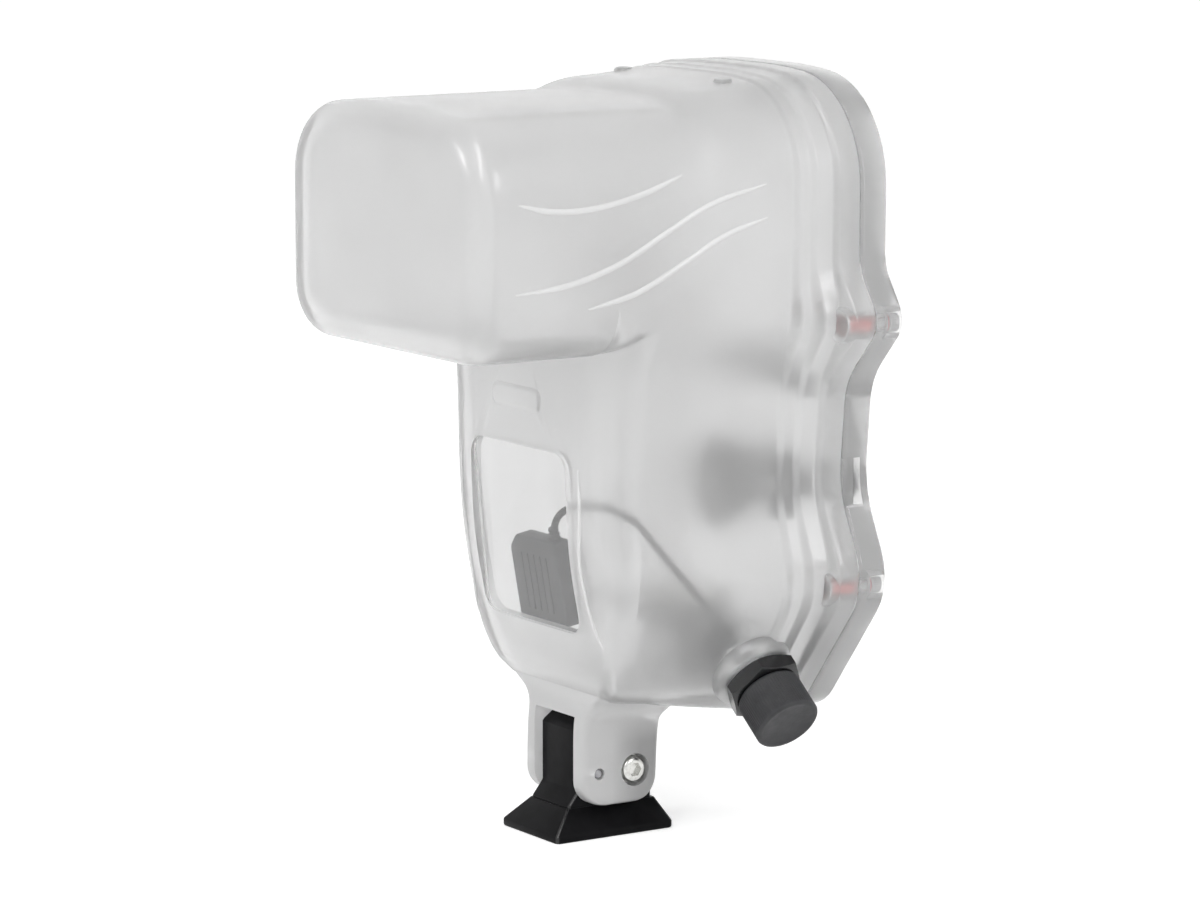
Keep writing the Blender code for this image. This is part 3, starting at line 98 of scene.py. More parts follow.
SELECT_SPOT, POWER_SPOT = (-0.002, 0.104), (0.028, 0.106)
GLAND_R, GLAND_FLANGE_R, GLAND_FLANGE, KNOB_SHAFT_R = 0.0042, 0.0062, 0.002, 0.0024
CLIP_FRONT, WHEEL_FRONT, FORK_FRONT, KNOB_BORE_R = 0.0594, 0.0488, 0.0528, 0.0027
BRACKET_SCREW_R, BRACKET_SCREW_DEEP, BRACKET_SPOTS = 0.00125, 0.0028, (0.032, 0.044)
WINDOW_SIZE, WINDOW_CENTRE, WINDOW_CORNER = (0.054, 0.056), (-0.0221, 0.0945), 0.006
WINDOW_TILT, MODULE_TILT = math.radians(5.9), math.radians(10)
WINDOW_CUTS = ((-0.006, 0), (0.0020, 0.0085))
MODULE_CENTRE, MODULE_HALF, MODULE_HALF_THICK = Vector((-0.0015, -0.01319956, 0.080)), 0.0135, 0.003
LEAD_R = 0.0011
PAD_SIZE, PAD_HEIGHT, PAD_PROUD = (0.028, 0.008), 0.137, 0.0012
PIP_R, PIP_PROUD, PIP_SPOT = 0.003, 0.0012, (0.0275, 0.031)

HOOD_TOP = HOOD_BOTTOM + HOOD_HEIGHT
RIM_TOP = HOOD_TOP + RIM_RISE
SHOE_FLOOR = CASE_BOTTOM + LAND + TOUCH
CHEST_SIDE = CHEST_FRONT + 0.0113
CHEST_FLANK = CHEST_SIDE + 0.006
COVER_FRONT = JOINT + TOUCH
COVER_BACK = COVER_FRONT + COVER_THICK
PANEL_FRONT = COVER_BACK - PANEL_THICK
CONTROL_FACE = PANEL_FRONT + PANEL_THICK + TOUCH + GLAND_FLANGE
UPPER_SCREW_X = RIM_HALF + EAR_REACH - EAR_TO_SCREW
LOWER_SCREW_X = RIM_HALF + FLARE_REACH - EAR_TO_SCREW
CLOSURES = {
    "upper_right": (UPPER_SCREW_X, EAR_HEIGHT),
    "upper_left": (-UPPER_SCREW_X, EAR_HEIGHT),
    "lower_right": (LOWER_SCREW_X, FLARE_HEIGHT),
    "lower_left": (-LOWER_SCREW_X, FLARE_HEIGHT),
}

# How fine the surfaces are: points on each rounded corner of the case's outline, from the crown down
# to the bottom corner, and the furthest apart that two outlines are
CORNER_STEPS = (3, 12, 9, 3, 3, 5, 5, 5, 5)
HOOD_STEPS, SKIN_GAP, INNER_GAP, LUG_GAP = 9, 0.0045, 0.006, 0.0014


def mm(*spots):
    """Points given in millimetres."""
    return [tuple(value / 1000 for value in spot) for spot in spots]


# The raised lines on the hood's sides, as (y, z), and the one down each side of the chest
RIBS = (
    mm((-60, 202), (-48, 199.5), (-33, 199.8), (-17, 203), (-3, 207.8)),
    mm((-61, 176), (-43, 177.8), (-25, 183), (-8, 191.5), (8, 199), (27, 203.5)),
    mm((-36, 170.2), (-19, 174), (-3, 181.5), (12, 189), (27.5, 193.5)),
)
CHEST_LINE = mm(
    (33.2, -24.8, 118.8),
    (33.5, -24.6, 109.8),
    (33.3, -24.2, 100.6),
    (32.1, -23.4, 92.1),
    (32.3, -22.1, 83.5),
    (32.8, -21.0, 76.8),
    (33.9, -19.2, 69.7),
    (35.2, -17.2, 63.6),
)


# Materials


def node_in(tree, kind, feeds=(), **settings):
    """A node, its inputs linked where the feed is another node's output and set where it's a value."""
    made = tree.nodes.new(kind)
    for key, value in settings.items():
        setattr(made, key, value)
    for key, value in dict(feeds).items():
        if isinstance(value, bpy.types.NodeSocket):
            tree.links.new(value, made.inputs[key])
        else:
            made.inputs[key].default_value = value
    return made


class Look:
    """One node material: a Principled shader with noise behind its colour, its roughness and its bump."""

    def __init__(self, name):
        self.made = bpy.data.materials.new(name)
        self.made.use_nodes = True
        self.tree = self.made.node_tree
        self.shader = self.tree.nodes["Principled BSDF"]
        self.where = node_in(self.tree, "ShaderNodeTexCoord").outputs["Object"]

    def noise(self, scale, detail, stretch=None):
        """Noise at so many features a metre, drawn out along the axes where stretch says so."""
        where = self.where
        if stretch:
            feeds = {"Vector": where, "Scale": stretch}
            where = node_in(self.tree, "ShaderNodeMapping", feeds).outputs["Vector"]
        feeds = {"Vector": where, "Scale": scale, "Detail": detail}
        return node_in(self.tree, "ShaderNodeTexNoise", feeds).outputs["Fac"]

    def ramp(self, fac, *stops):
        """A colour that follows a number, from one place and colour to another."""
        made = node_in(self.tree, "ShaderNodeValToRGB", {"Fac": fac})
        for element, (place, colour) in zip(made.color_ramp.elements, stops):
            element.position = place
            element.color = (*colour, 1.0)
        return made.outputs["Color"]

    def span(self, fac, low, high, start=0.3, end=0.7):
        """A number that goes from low to high as another goes from start to end."""
        feeds = {"Value": fac, "From Min": start, "From Max": end, "To Min": low, "To Max": high}
        return node_in(self.tree, "ShaderNodeMapRange", feeds).outputs["Result"]

    def rise(self, axis, start, end):
        """A number that goes from 0 to 1 between two places along an axis."""
        parts = node_in(self.tree, "ShaderNodeSeparateXYZ", {"Vector": self.where})
        return self.span(parts.outputs[axis], 0, 1, start, end)

    def times(self, one, other):
        return node_in(self.tree, "ShaderNodeMath", {0: one, 1: other}, operation="MULTIPLY").outputs[0]

    def link(self, source, key):
        self.tree.links.new(source, self.shader.inputs[key])

    def finish(self, colour, roughness, height, strength, depth, **values):
        """The material, its shader fed by nodes and set to what is the same all over the surface."""
        feeds = {"Height": height, "Strength": strength, "Distance": depth}
        normal = node_in(self.tree, "ShaderNodeBump", feeds).outputs["Normal"]
        for source, key in ((colour, "Base Color"), (roughness, "Roughness"), (normal, "Normal")):
            self.link(source, key)
        for key, value in values.items():
            self.shader.inputs[key.replace("_", " ")].default_value = value
        return self.made


def finish_clear(look, colour, rough, transmission, bump, coat):
    """Moulded clear plastic, milky where it's frosted."""
    roughness = look.span(look.noise(60, 3.0), *rough)
    values = {"Transmission_Weight": transmission, "IOR": 1.45, "Specular_IOR_Level": 0.5}
    values |= {"Coat_Weight": coat, "Coat_Roughness": 0.19, "Coat_IOR": 1.45}
    return look.finish(colour, roughness, look.noise(900, 4.0), bump, 0.0001, **values)


def clear_look(name, low, high, *rest):
    look = Look(name)
    colour = look.ramp(look.noise(28, 2.0), (0.35, (low,) * 3), (0.65, (high,) * 3))
    return finish_clear(look, colour, *rest)


def lug_look_painted_shade(light, deep, *rest):
    """Thick milky moulding, deeper in tone at the back of the lobes as painted shade."""
    look = Look("frosted_lug_painted_shade")
    # Painted shade: darker towards the back of each lobe and fading out up the neck, with a little noise in
    # it
    back = look.times(look.rise("Y", -0.002, 0.008), look.rise("Z", 0.037, 0.029))
    share = look.times(back, look.span(look.noise(70, 2.0), 0.75, 1.0))
    return finish_clear(look, look.ramp(share, (0.0, (light,) * 3), (1.0, (deep,) * 3)), *rest)


def plastic_look(name, low, high, rough, bump, level):
    look = Look(name)
    colour = look.ramp(look.noise(180, 4.0), (0.3, low), (0.7, high))
    roughness = look.span(look.noise(400, 4.0), *rough)
    return look.finish(colour, roughness, look.noise(1400, 3.0), bump, 0.0001, Specular_IOR_Level=level)


def metal_look(name, low, high, rough, stretch=None):
    look = Look(name)
    grain = look.noise(900, 5.0, stretch)
    colour = look.ramp(grain, (0.3, low), (0.7, high))
    return look.finish(colour, look.span(grain, *rough), grain, 0.1, 0.00005, Metallic=1.0)


# Each with its name, its two tones, its roughness, how clear it is, its bump and its coat
CLEAR = {
    "clear_shell": ("frosted_case", 0.85, 0.89, (0.29, 0.33), 0.81, 0.12, 0.5),
    "clear_inside": ("frosted_inside", 0.89, 0.92, (0.29, 0.34), 0.86, 0.12, 0.0),
    # The ribs' look is lighter and milkier than the case's, a painted highlight along the raised lines
    "clear_rib": ("frosted_rib_painted_highlight", 0.92, 0.94, (0.29, 0.33), 0.48, 0.12, 0.3),
    "clear_window": ("polished_window", 0.91, 0.94, (0.05, 0.09), 0.97, 0.05, 0.0),
    "clear_cover": ("clear_cover_plate", 0.96, 0.98, (0.10, 0.15), 0.78, 0.04, 0.0),
}
# Each with its name, its two colours, its roughness, its bump and its specular level
PLASTIC = {
    "foot_black": (
        "foot_black_satin", (0.004, 0.004, 0.0045), (0.008, 0.008, 0.009), (0.29, 0.36), 0.15, 0.06,
    ),
    "nut_black": ("nut_black_gloss", (0.006, 0.006, 0.007), (0.011, 0.011, 0.012), (0.18, 0.25), 0.12, 0.5),
    "cap_grey": ("cap_grey_satin", (0.036, 0.036, 0.039), (0.048, 0.048, 0.051), (0.45, 0.58), 0.4, 0.3),
    "knob_black": (
        "knob_black_grained", (0.012, 0.012, 0.013), (0.022, 0.022, 0.024), (0.40, 0.52), 0.5, 0.5,
    ),
    "module_grey": (
        "module_grey_moulded", (0.030, 0.031, 0.034), (0.050, 0.050, 0.055), (0.45, 0.60), 0.5, 0.5,
    ),
    "seal_rubber": (
        "seal_black_rubber", (0.008, 0.008, 0.008), (0.016, 0.016, 0.016), (0.50, 0.62), 0.3, 0.5,
    ),
    "lead_black": ("lead_black_jacket", (0.010, 0.010, 0.011), (0.020, 0.020, 0.021), (0.38, 0.50), 0.3, 0.5),
    "washer_red": ("washer_red_rubber", (0.42, 0.035, 0.045), (0.55, 0.055, 0.065), (0.40, 0.52), 0.3, 0.5),
}
# Each with its name, its two colours, its roughness and how its grain is drawn out
METAL = {
    "stainless": ("stainless_turned", (0.52, 0.52, 0.50), (0.68, 0.68, 0.66), (0.18, 0.26)),
    "insert_brass": ("insert_red_brass", (0.70, 0.14, 0.13), (0.82, 0.21, 0.19), (0.29, 0.36)),
    "connector_metal": ("gland_anodised", (0.26, 0.26, 0.27), (0.36, 0.36, 0.37), (0.30, 0.42)),
    "bracket_aluminium": ("bracket_brushed", (0.58,) * 3, (0.72,) * 3, (0.29, 0.42), (1, 1, 0.05)),
    "button_metal": ("button_turned", (0.44,) * 3, (0.56,) * 3, (0.29, 0.36)),
}
# The lug's second, deeper tone is the painted shade at the back of its lobes
LOOKS = {"clear_lug": lug_look_painted_shade(0.87, 0.48, (0.29, 0.34), 0.52, 0.12, 0.5)}
for kind, rows in ((clear_look, CLEAR), (plastic_look, PLASTIC), (metal_look, METAL)):
    LOOKS |= {slot: kind(*row) for slot, row in rows.items()}

for node, slot in SLOT_OF.items():
    NODES[node].data.materials.clear()
    NODES[node].data.materials.append(LOOKS[slot])


# Shapes


def round_angles(count, phase=0.0):
    return [2 * math.pi * (k + phase) / count for k in range(count)]


def quarter(steps):
    return [math.pi / 2 * i / steps for i in range(steps + 1)]


def mesh_of(made):
    """The closed form as a mesh, its faces turned outwards."""
    bmesh.ops.recalc_face_normals(made, faces=made.faces)
    if made.calc_volume(signed=True) < 0:
        bmesh.ops.reverse_faces(made, faces=made.faces)
    mesh = bpy.data.meshes.new("mesh")
    made.to_mesh(mesh)
    made.free()
    return mesh


def smooth(mesh, angle=35):
    mesh.shade_smooth()
    mesh.set_sharp_from_angle(angle=math.radians(angle))


def loft(rings, closed=False):
    """A solid through rings of points, capped at both ends, or with its last ring joined to its first."""
    made = bmesh.new()
    loops = [[made.verts.new(p) for p in ring] for ring in rings]
    for front, back in zip(loops, loops[1:] + loops[:1] if closed else loops[1:]):
        for i in range(len(front)):
            j = (i + 1) % len(front)
            made.faces.new((front[i], front[j], back[j], back[i]))
    if not closed:
        made.faces.new(reversed(loops[0]))
        made.faces.new(loops[-1])
    return mesh_of(made)


def turned(profile, sides=64):
    """A profile of (radius, height), outer side from top to bottom, turned about Z. It closes on the axis.

    A radius may be a function of the angle, for threads, flutes and knurls.
    """
    made = bmesh.new()
    rings = []
    for radius, height in profile:
        if radius == 0:
            rings.append([made.verts.new((0, 0, height))])
        else:
            spots = [(radius(a) if callable(radius) else radius, a) for a in round_angles(sides)]
            rings.append([made.verts.new((r * math.cos(a), r * math.sin(a), height)) for r, a in spots])
    on_axis = min(len(ring) for ring in rings) == 1
    for one, other in zip(rings, rings[1:] if on_axis else rings[1:] + rings[:1]):
        for i in range(sides):
            j = (i + 1) % sides
            corners = [one[i % len(one)], one[j % len(one)], other[j % len(other)], other[i % len(other)]]
            corners = [v for k, v in enumerate(corners) if v not in corners[:k]]
            if len(corners) > 2:
                made.faces.new(corners)
    return mesh_of(made)


def bar(radius, low, high):
    return [(0, high), (radius, high), (radius, low), (0, low)]


def sleeve(inner, outer, low, high):
    return [(outer, high), (outer, low), (inner, low), (inner, high)]


def drum(radius, low, high, sides=48):
    return turned(bar(radius, low, high), sides)


def corner_radius(across_flats):
    return across_flats / 2 / math.cos(math.radians(30))


def hexagon(across_flats, low, high):
    return drum(corner_radius(across_flats), low, high, 6)


def block(size, centre=(0, 0, 0)):
    made = bmesh.new()
    bmesh.ops.create_cube(made, size=1.0)
    bmesh.ops.scale(made, verts=made.verts, vec=size)
    bmesh.ops.translate(made, verts=made.verts, vec=centre)
    return mesh_of(made)


def rounded_box(wide, tall, corner, steps=6):
    points = []
    for turn, (sx, sz) in enumerate(((1, 1), (-1, 1), (-1, -1), (1, -1))):
        for angle in (math.pi / 2 * (turn + step / steps) for step in range(steps + 1)):
            x = sx * (wide / 2 - corner) + corner * math.cos(angle)
            points.append((x, sz * (tall / 2 - corner) + corner * math.sin(angle)))
    return points


def prism(outline, low, high):
    """A flat outline of (x, z) given its thickness along Y."""
    return loft([[Vector((x, y, z)) for x, z in outline] for y in (low, high)])


def steady(xs, ys):
    """Slopes for a curve through points that never swings past them."""
    gaps = [b - a for a, b in zip(xs, xs[1:])]
    rises = [(b - a) / g for a, b, g in zip(ys, ys[1:], gaps)]
    slopes = [rises[0]]
    for i in range(1, len(rises)):
        if rises[i - 1] * rises[i] <= 0:
            slopes.append(0.0)
        else:
            one, other = 2 * gaps[i] + gaps[i - 1], gaps[i] + 2 * gaps[i - 1]
            slopes.append((one + other) / (one / rises[i - 1] + other / rises[i]))
    return slopes + [rises[-1]]


def refined(rings, length):
    """The rings with others between them on smooth curves, none further apart than a length."""
    levels = [ring[0].y for ring in rings]
    tracks = []
    for spots in zip(*rings):
        xs, zs = [p.x for p in spots], [p.z for p in spots]
        tracks.append((xs, steady(levels, xs), zs, steady(levels, zs)))
    made = []
    for k, (one, other) in enumerate(zip(rings, rings[1:])):
        far = max((a - b).length for a, b in zip(one, other))
        steps = max(1, min(10, math.ceil(far / length)))
        gap = levels[k + 1] - levels[k]
        for step in range(steps):
            t = step / steps
            h = (
                2 * t**3 - 3 * t**2 + 1,
                (t**3 - 2 * t**2 + t) * gap,
                3 * t**2 - 2 * t**3,
                (t**3 - t**2) * gap,
            )
            ring = []
            for xs, dx, zs, dz in tracks:
                x = h[0] * xs[k] + h[1] * dx[k] + h[2] * xs[k + 1] + h[3] * dx[k + 1]
                z = h[0] * zs[k] + h[1] * dz[k] + h[2] * zs[k + 1] + h[3] * dz[k + 1]
                ring.append(Vector((x, levels[k] + t * gap, z)))
            made.append(ring)
    return made + [rings[-1]]


def curve_through(knots, steps):
    """Points on a smooth curve through some knots."""
    knots = [Vector(k) for k in knots]
    ends = [2 * knots[0] - knots[1], *knots, 2 * knots[-1] - knots[-2]]
    points = []
    for before, start, end, after in zip(ends, ends[1:], ends[2:], ends[3:]):
        for t in (step / steps for step in range(steps)):
            bend = (2 * before - 5 * start + 4 * end - after) * t**2
            bend += (3 * start - 3 * end + after - before) * t**3
            points.append(0.5 * (2 * start + (end - before) * t + bend))
    return points + [knots[-1]]


def soft_across(outline, half, edge, steps):
    """A flat outline of (y, z) given its thickness along X, with rounded rims."""
    middle = Vector((sum(p[0] for p in outline), sum(p[1] for p in outline))) / len(outline)
    rims = [(half - edge * (1 - math.sin(a)), edge * (1 - math.cos(a))) for a in quarter(steps)]
    levels = {(round(side * x, 7), round(d, 7)) for x, d in rims for side in (-1, 1)}
    rings = []
    for x, d in sorted(levels):
        ring = []
        for i, p in enumerate(outline):
            along = (Vector(outline[(i + 1) % len(outline)]) - Vector(outline[i - 1])).normalized()
            inward = Vector((along.y, -along.x))
            if inward.dot(middle - Vector(p)) < 0:
                inward = -inward
            ring.append(Vector((x, *(Vector(p) + inward * d))))
        rings.append(ring)
    return loft(rings)


def soft_prism(outline, low, high, edge):
    """A flat outline of (x, z) given its thickness along Y, with soft rims."""
    mesh = soft_across([(-x, z) for x, z in outline], (high - low) / 2, edge, 3)
    mesh.transform(Matrix.Translation((0, (low + high) / 2, 0)) @ Matrix.Rotation(math.pi / 2, 4, "Z"))
    return mesh


def layered(levels):
    """A solid through rounded rectangles, each a height, a half width, a front, a back and a corner."""
    rings = []
    for z, half, front, back, corner in levels:
        outline = rounded_box(2 * half, back - front, corner, 4)
        rings.append([Vector((x, y + (front + back) / 2, z)) for x, y in outline])
    return loft(rings)


def slab(wide, tall, low, high, corner, edge):
    """A rounded plate with soft rims, its thickness along Z."""
    rim = ((0, edge), (edge * 0.3, edge * 0.3), (edge, 0))
    levels = [(low + z, d) for z, d in rim] + [(high - z, d) for z, d in reversed(rim)]
    half, deep = wide / 2, tall / 2
    return layered([(z, half - d, d - deep, deep - d, max(corner - d, 0.0001)) for z, d in levels])


def bend_at(before, here, after, reach, share, steps):
    """A small curve round a corner, which takes no more than a share of each side."""
    before, here, after = Vector(before), Vector(here), Vector(after)
    start = here + (before - here).normalized() * min(reach, share * (before - here).length)
    end = here + (after - here).normalized() * min(reach, share * (after - here).length)
    shares = [step / steps for step in range(steps + 1)]
    return [tuple((1 - t) ** 2 * start + 2 * t * (1 - t) * here + t**2 * end) for t in shares]


def eased(profile, reach=0.0003, steps=3):
    """The profile of a turned piece with a small arc at each corner that is off the axis."""
    closed = min(radius for radius, _ in profile) > 0
    made = []
    for i, spot in enumerate(profile):
        if closed or 0 < i < len(profile) - 1:
            made += bend_at(profile[i - 1], spot, profile[(i + 1) % len(profile)], reach, 0.45, steps)
        else:
            made.append(spot)
    return made


def polygon(points, reaches, steps=4):
    """A flat outline with each corner rounded by as much as its sides leave room for."""
    made = []
    for i, (spot, reach) in enumerate(zip(points, reaches)):
        made += bend_at(points[i - 1], spot, points[(i + 1) % len(points)], reach, 0.47, steps)
    return made


def wave(angle, count, phase=0.0):
    """A triangle wave round a piece, from 0 to 1 and back, so many times a turn."""
    return abs(2 * ((count * angle / (2 * math.pi) + phase) % 1) - 1)


def thread(radius, pitch, deep, high, low):
    """Rings of a helical thread from high to low, which runs out at both ends."""
    rings = []
    count = max(2, round((high - low) / pitch * 6))
    for i in range(count + 1):
        height = high - (high - low) * i / count
        fade = min(1.0, (high - height) / pitch, (height - low) / pitch + 0.3)
        rings.append((lambda a, h=height, f=fade: radius - deep * f * wave(a, -1, h / pitch), height))
    return rings


def fluted(radius, deep, count, high, low):
    """Rings with shallow flutes round them, which fade out at both ends."""
    rings = [(radius, high)]
    for i in range(3):
        height = high - deep * 2 - (high - low - deep * 4) * i / 2
        rings.append((lambda a: radius - deep * (0.5 - 0.5 * math.cos(count * a)), height))
    return [*rings, (radius, low)]


def knurled(radius, deep, count, twist, high, low):
    """Rings of a knurl that climbs round a piece."""
    steps = max(3, round((high - low) / 0.0003))
    rings = []
    for i in range(steps + 1):
        height = high - (high - low) * i / steps
        rings.append((lambda a, h=height: radius - deep * wave(a, count, h * twist), height))
    return rings


def scalloped(radius, centre=0.0118, bite=0.0016, count=12):
    """A radius with round bites out of it, their middles on a circle of their own."""

    def reach(angle):
        turn = ((angle * count / (2 * math.pi)) % 1 - 0.5) * 2 * math.pi / count
        aside = centre * math.sin(turn)
        if abs(aside) >= bite:
            return radius
        return min(radius, centre * math.cos(turn) - math.sqrt(bite**2 - aside**2))

    return reach


def screw(head, shank, plain, length, pitch, sides=48):
    """A screw along Z with the underside of its head at zero."""
    core = shank - 0.55 * pitch
    turns = thread(shank, pitch, 0.55 * pitch, -plain, -length + 0.0004)
    tip = [(core, -length + 0.0002), (core - 0.0002, -length), (0, -length)]
    return turned([*head, (shank, 0), *turns, *tip], sides)


def nut_tools(across_flats, low, high, bore):
    """What a hexagon is cut with to make it a nut: its two chamfers and its bore."""
    corner = corner_radius(across_flats) + 0.0002
    start, lead_in = across_flats * 0.485, 0.0005
    drop = (corner - start) * math.tan(math.radians(30))
    cone = [(0, high), (start, high), (corner, high - drop), (corner, low + drop), (start, low), (0, low)]
    hole = [(0, high + 0.001), (bore + lead_in, high + 0.001), (bore + lead_in, high), (bore, high - lead_in)]
    hole += [(bore, low + lead_in), (bore + lead_in, low), (bore + lead_in, low - 0.001), (0, low - 0.001)]
    return {"meets": [turned(cone, 96)], "cuts": [turned(hole)]}


# The case's outline at one distance from the front, as in the CAD source but with finer corners. A row is its
# right half: its corners, each an x, a z and the reach of its rounding, and the height of its bottom.


def lay_out(corners, bottom):
    return [Vector((0, corners[0][1])), *[Vector(c[:2]) for c in corners], Vector((0, bottom))]


def reaches_of(corners, spots):
    wanted = [0, *[corner[2] for corner in corners], 0]
    edges = [(b - a).length for a, b in zip(spots, spots[1:])]
    fits = [min(1.0, 0.96 * length / max(a + b, 1e-9)) for length, a, b in zip(edges, wanted, wanted[1:])]
    return [wanted[i] * min(fits[i - 1], fits[i]) for i in range(1, len(spots) - 1)]


def rounded(corners, bottom):
    spots = lay_out(corners, bottom)
    half = []
    for i, (reach, steps) in enumerate(zip(reaches_of(corners, spots), CORNER_STEPS), start=1):
        back, forth = (spots[i - 1] - spots[i]).normalized(), (spots[i + 1] - spots[i]).normalized()
        start, end = spots[i] + back * reach, spots[i] + forth * reach
        weight = math.sqrt(max(0.0, (1 - back.dot(forth)) / 2))
        for t in (step / steps for step in range(steps + 1)):
            a, b, c = (1 - t) ** 2, 2 * weight * t * (1 - t), t**2
            half.append((a * start + b * spots[i] + c * end) / (a + b + c))
    return half + [Vector((-p.x, p.y)) for p in reversed(half)]


def inset(corners, bottom, distance):
    spots = lay_out(corners, bottom)
    shifted = []
    for i, corner in enumerate(corners, start=1):
        back, forth = (spots[i] - spots[i - 1]).normalized(), (spots[i + 1] - spots[i]).normalized()
        inward = Vector((back.y, -back.x)) + Vector((forth.y, -forth.x))
        share = 1 + back.dot(forth)
        spot = spots[i] + inward * distance / share
        turn = (back.x * forth.y - back.y * forth.x) / share
        shifted.append((spot.x, spot.y, max(corner[2] + turn * distance, 0.0004)))
    return shifted, bottom + distance


def between(one, other, share):
    corners = [tuple(a + (b - a) * share for a, b in zip(p, q)) for p, q in zip(one[0], other[0])]
    return corners, one[1] + (other[1] - one[1]) * share


def hood_row():
    under = [(0.027 - 0.0045 * i, HOOD_BOTTOM, 0.0018) for i in range(6)]
    top = [(0.018, HOOD_TOP, 0.010), (HOOD_HALF, HOOD_TOP - 0.004, HOOD_CORNER)]
    return [*top, (HOOD_HALF, HOOD_BOTTOM, HOOD_CORNER - 0.004), *under], HOOD_BOTTOM


def chest_row(blend, side, waist, low, base, bottom):
    flank = CHEST_HALF - side
    return [
        *hood_row()[0][:2],
        (HOOD_HALF, HOOD_BOTTOM + 0.014 * blend, HOOD_CORNER - 0.004 - 0.005 * blend),
        (flank + 0.0035 + 0.005 * blend, HOOD_BOTTOM + 0.0003 + 0.0035 * blend, 0.0025 + 0.006 * blend),
        (flank + 0.0006 + 0.003 * blend, HOOD_BOTTOM - 0.005, 0.0025 + 0.004 * blend),
        (flank + 0.0008 * blend, HOOD_BOTTOM - 0.018, 0.006),
        (CHEST_HALF - waist[0], waist[1], 0.008),
        (CHEST_HALF - low[0], low[1], 0.009),
        (base, bottom + 0.001, 0.006),
    ], bottom


def body_row():
    bottom = CASE_BOTTOM + 0.002
    return [
        (0.020, HOOD_TOP + 0.0048, 0.010),
        (HOOD_HALF, HOOD_TOP + 0.001, 0.026),
        (HOOD_HALF, 0.192, 0.008),
        (HOOD_HALF - 0.0005, 0.176, 0.006),
        (HOOD_HALF - 0.002, EAR_HEIGHT, 0.006),
        (0.050, 0.142, 0.005),
        (0.0475, 0.108, 0.008),
        (0.0545, FLARE_HEIGHT, 0.009),
        (0.029, bottom, 0.005),
    ], bottom


def rim_row(ear, flare=FLARE_REACH):
    return [
        (0.020, RIM_TOP, 0.010),
        (RIM_HALF, RIM_TOP - 0.004, 0.031),
        (RIM_HALF, 0.190, 0.008),
        (RIM_HALF - 0.0002, 0.177, 0.004),
        (RIM_HALF + ear, EAR_HEIGHT, 0.006),
        (RIM_HALF - 0.0065, 0.1415, 0.007),
        (RIM_HALF - 0.0095, 0.108, 0.009),
        (RIM_HALF + flare, FLARE_HEIGHT, 0.012),
        (RIM_HALF - 0.0305, CASE_BOTTOM, 0.008),
    ], CASE_BOTTOM


# The finer corners reach further out than the CAD's, so the ears start that much further in
RIM = rim_row(EAR_REACH - 0.0016)
MOUTH = inset(*rim_row(-0.0008, -0.0035), LAND)
SEAL = inset(*MOUTH, -SEAL_FROM_MOUTH)


def crowned(row, height):
    """A row with its crown at a height of its own, for the shoulder on the case's top."""
    corners, bottom = row
    top = [(corners[0][0], height, corners[0][2]), (corners[1][0], height - 0.004, corners[1][2])]
    return [*top, *corners[2:]], bottom


def hood_stations():
    rows = []
    for angle in quarter(HOOD_STEPS):
        row = inset(*hood_row(), HOOD_EDGE * (1 - math.sin(angle)))
        rows.append((HOOD_FRONT + HOOD_EDGE * (1 - math.cos(angle)), row))
    start, end = rows[-1][0], CHEST_FRONT - 0.0006
    return rows + [(start + (end - start) * i / 5, hood_row()) for i in range(1, 6)]


def chest_stations():
    face, edge, turn, chin = (CHEST_FRONT + d for d in (0, 0.0008, 0.0043, 0.0078))
    flank = chest_row(1, 0, (0.0006, 0.108), (-0.0006, FLARE_HEIGHT), 0.0295, 0.0435)
    shoulder = ((0.0045, 0.25, 0.2287), (0.010, 0.41, 0.2306), (0.0155, 0.54, 0.2318), (0.025, 0.76, 0.2324))
    return [
        (face, chest_row(0, 0.0136, (0.0136, 0.133), (0.0138, 0.122), 0.0300, 0.110)),
        (edge, chest_row(0.1, 0.009, (0.0094, 0.120), (0.0102, 0.109), 0.0320, 0.0955)),
        (turn, chest_row(0.35, 0.0041, (0.0046, 0.108), (0.0066, 0.087), 0.0330, 0.0735)),
        (chin, chest_row(0.6, 0.0021, (0.0026, 0.108), (0.0036, 0.080), 0.0330, 0.0570)),
        (CHEST_SIDE, chest_row(0.8, 0.0008, (0.0014, 0.108), (0.0016, 0.0795), 0.0315, 0.0485)),
        (CHEST_FLANK, flank),
        *[(y, crowned(between(flank, body_row(), share), top)) for y, share, top in shoulder],
        (BODY_BACK, body_row()),
    ]


def ring_at(y, row):
    return [Vector((p.x, y, p.y)) for p in rounded(*row)]


def rim_rings():
    """The two ridges and the flange, each step with a soft shoulder."""
    back = JOINT - RIM_THICK
    steps = (
        (BODY_BACK, 0.0026, 0, 0.32),
        (BODY_BACK + 0.0052, 0.0028, 0.32, 0.62),
        (back - 0.0024, 0.0024, 0.62, 1),
    )
    rings = []
    for start, length, low, high in steps:
        for i in range(0 if rings else 1, 7):
            t = i / 6
            share = low + (high - low) * (3 * t**2 - 2 * t**3)
            rings.append(ring_at(start + length * t, between(body_row(), RIM, share)))
    for angle in quarter(4):
        y = JOINT - RIM_CHAMFER * (1 - math.sin(angle))
        rings.append(ring_at(y, inset(*RIM, RIM_CHAMFER * (1 - math.cos(angle)))))
    return rings


def outer_rings():
    hood = [ring_at(y, row) for y, row in hood_stations()]
    chest = refined([ring_at(y, row) for y, row in chest_stations()], SKIN_GAP)
    return hood + chest + rim_rings()


def inner_rings():
    hood = [ring_at(y + FRONT_WALL, inset(*row, WALL)) for y, row in hood_stations()]
    chest = []
    for y, row in chest_stations():
        shift = FRONT_WALL if y < CHEST_SIDE + 0.0001 else 0
        chest.append(ring_at(y + shift, inset(*row, WALL)))
    return hood + refined(chest, INNER_GAP) + [ring_at(JOINT + 0.002, inset(*body_row(), WALL))]


# Pieces. A Boolean's tools are removed once they have done their work.


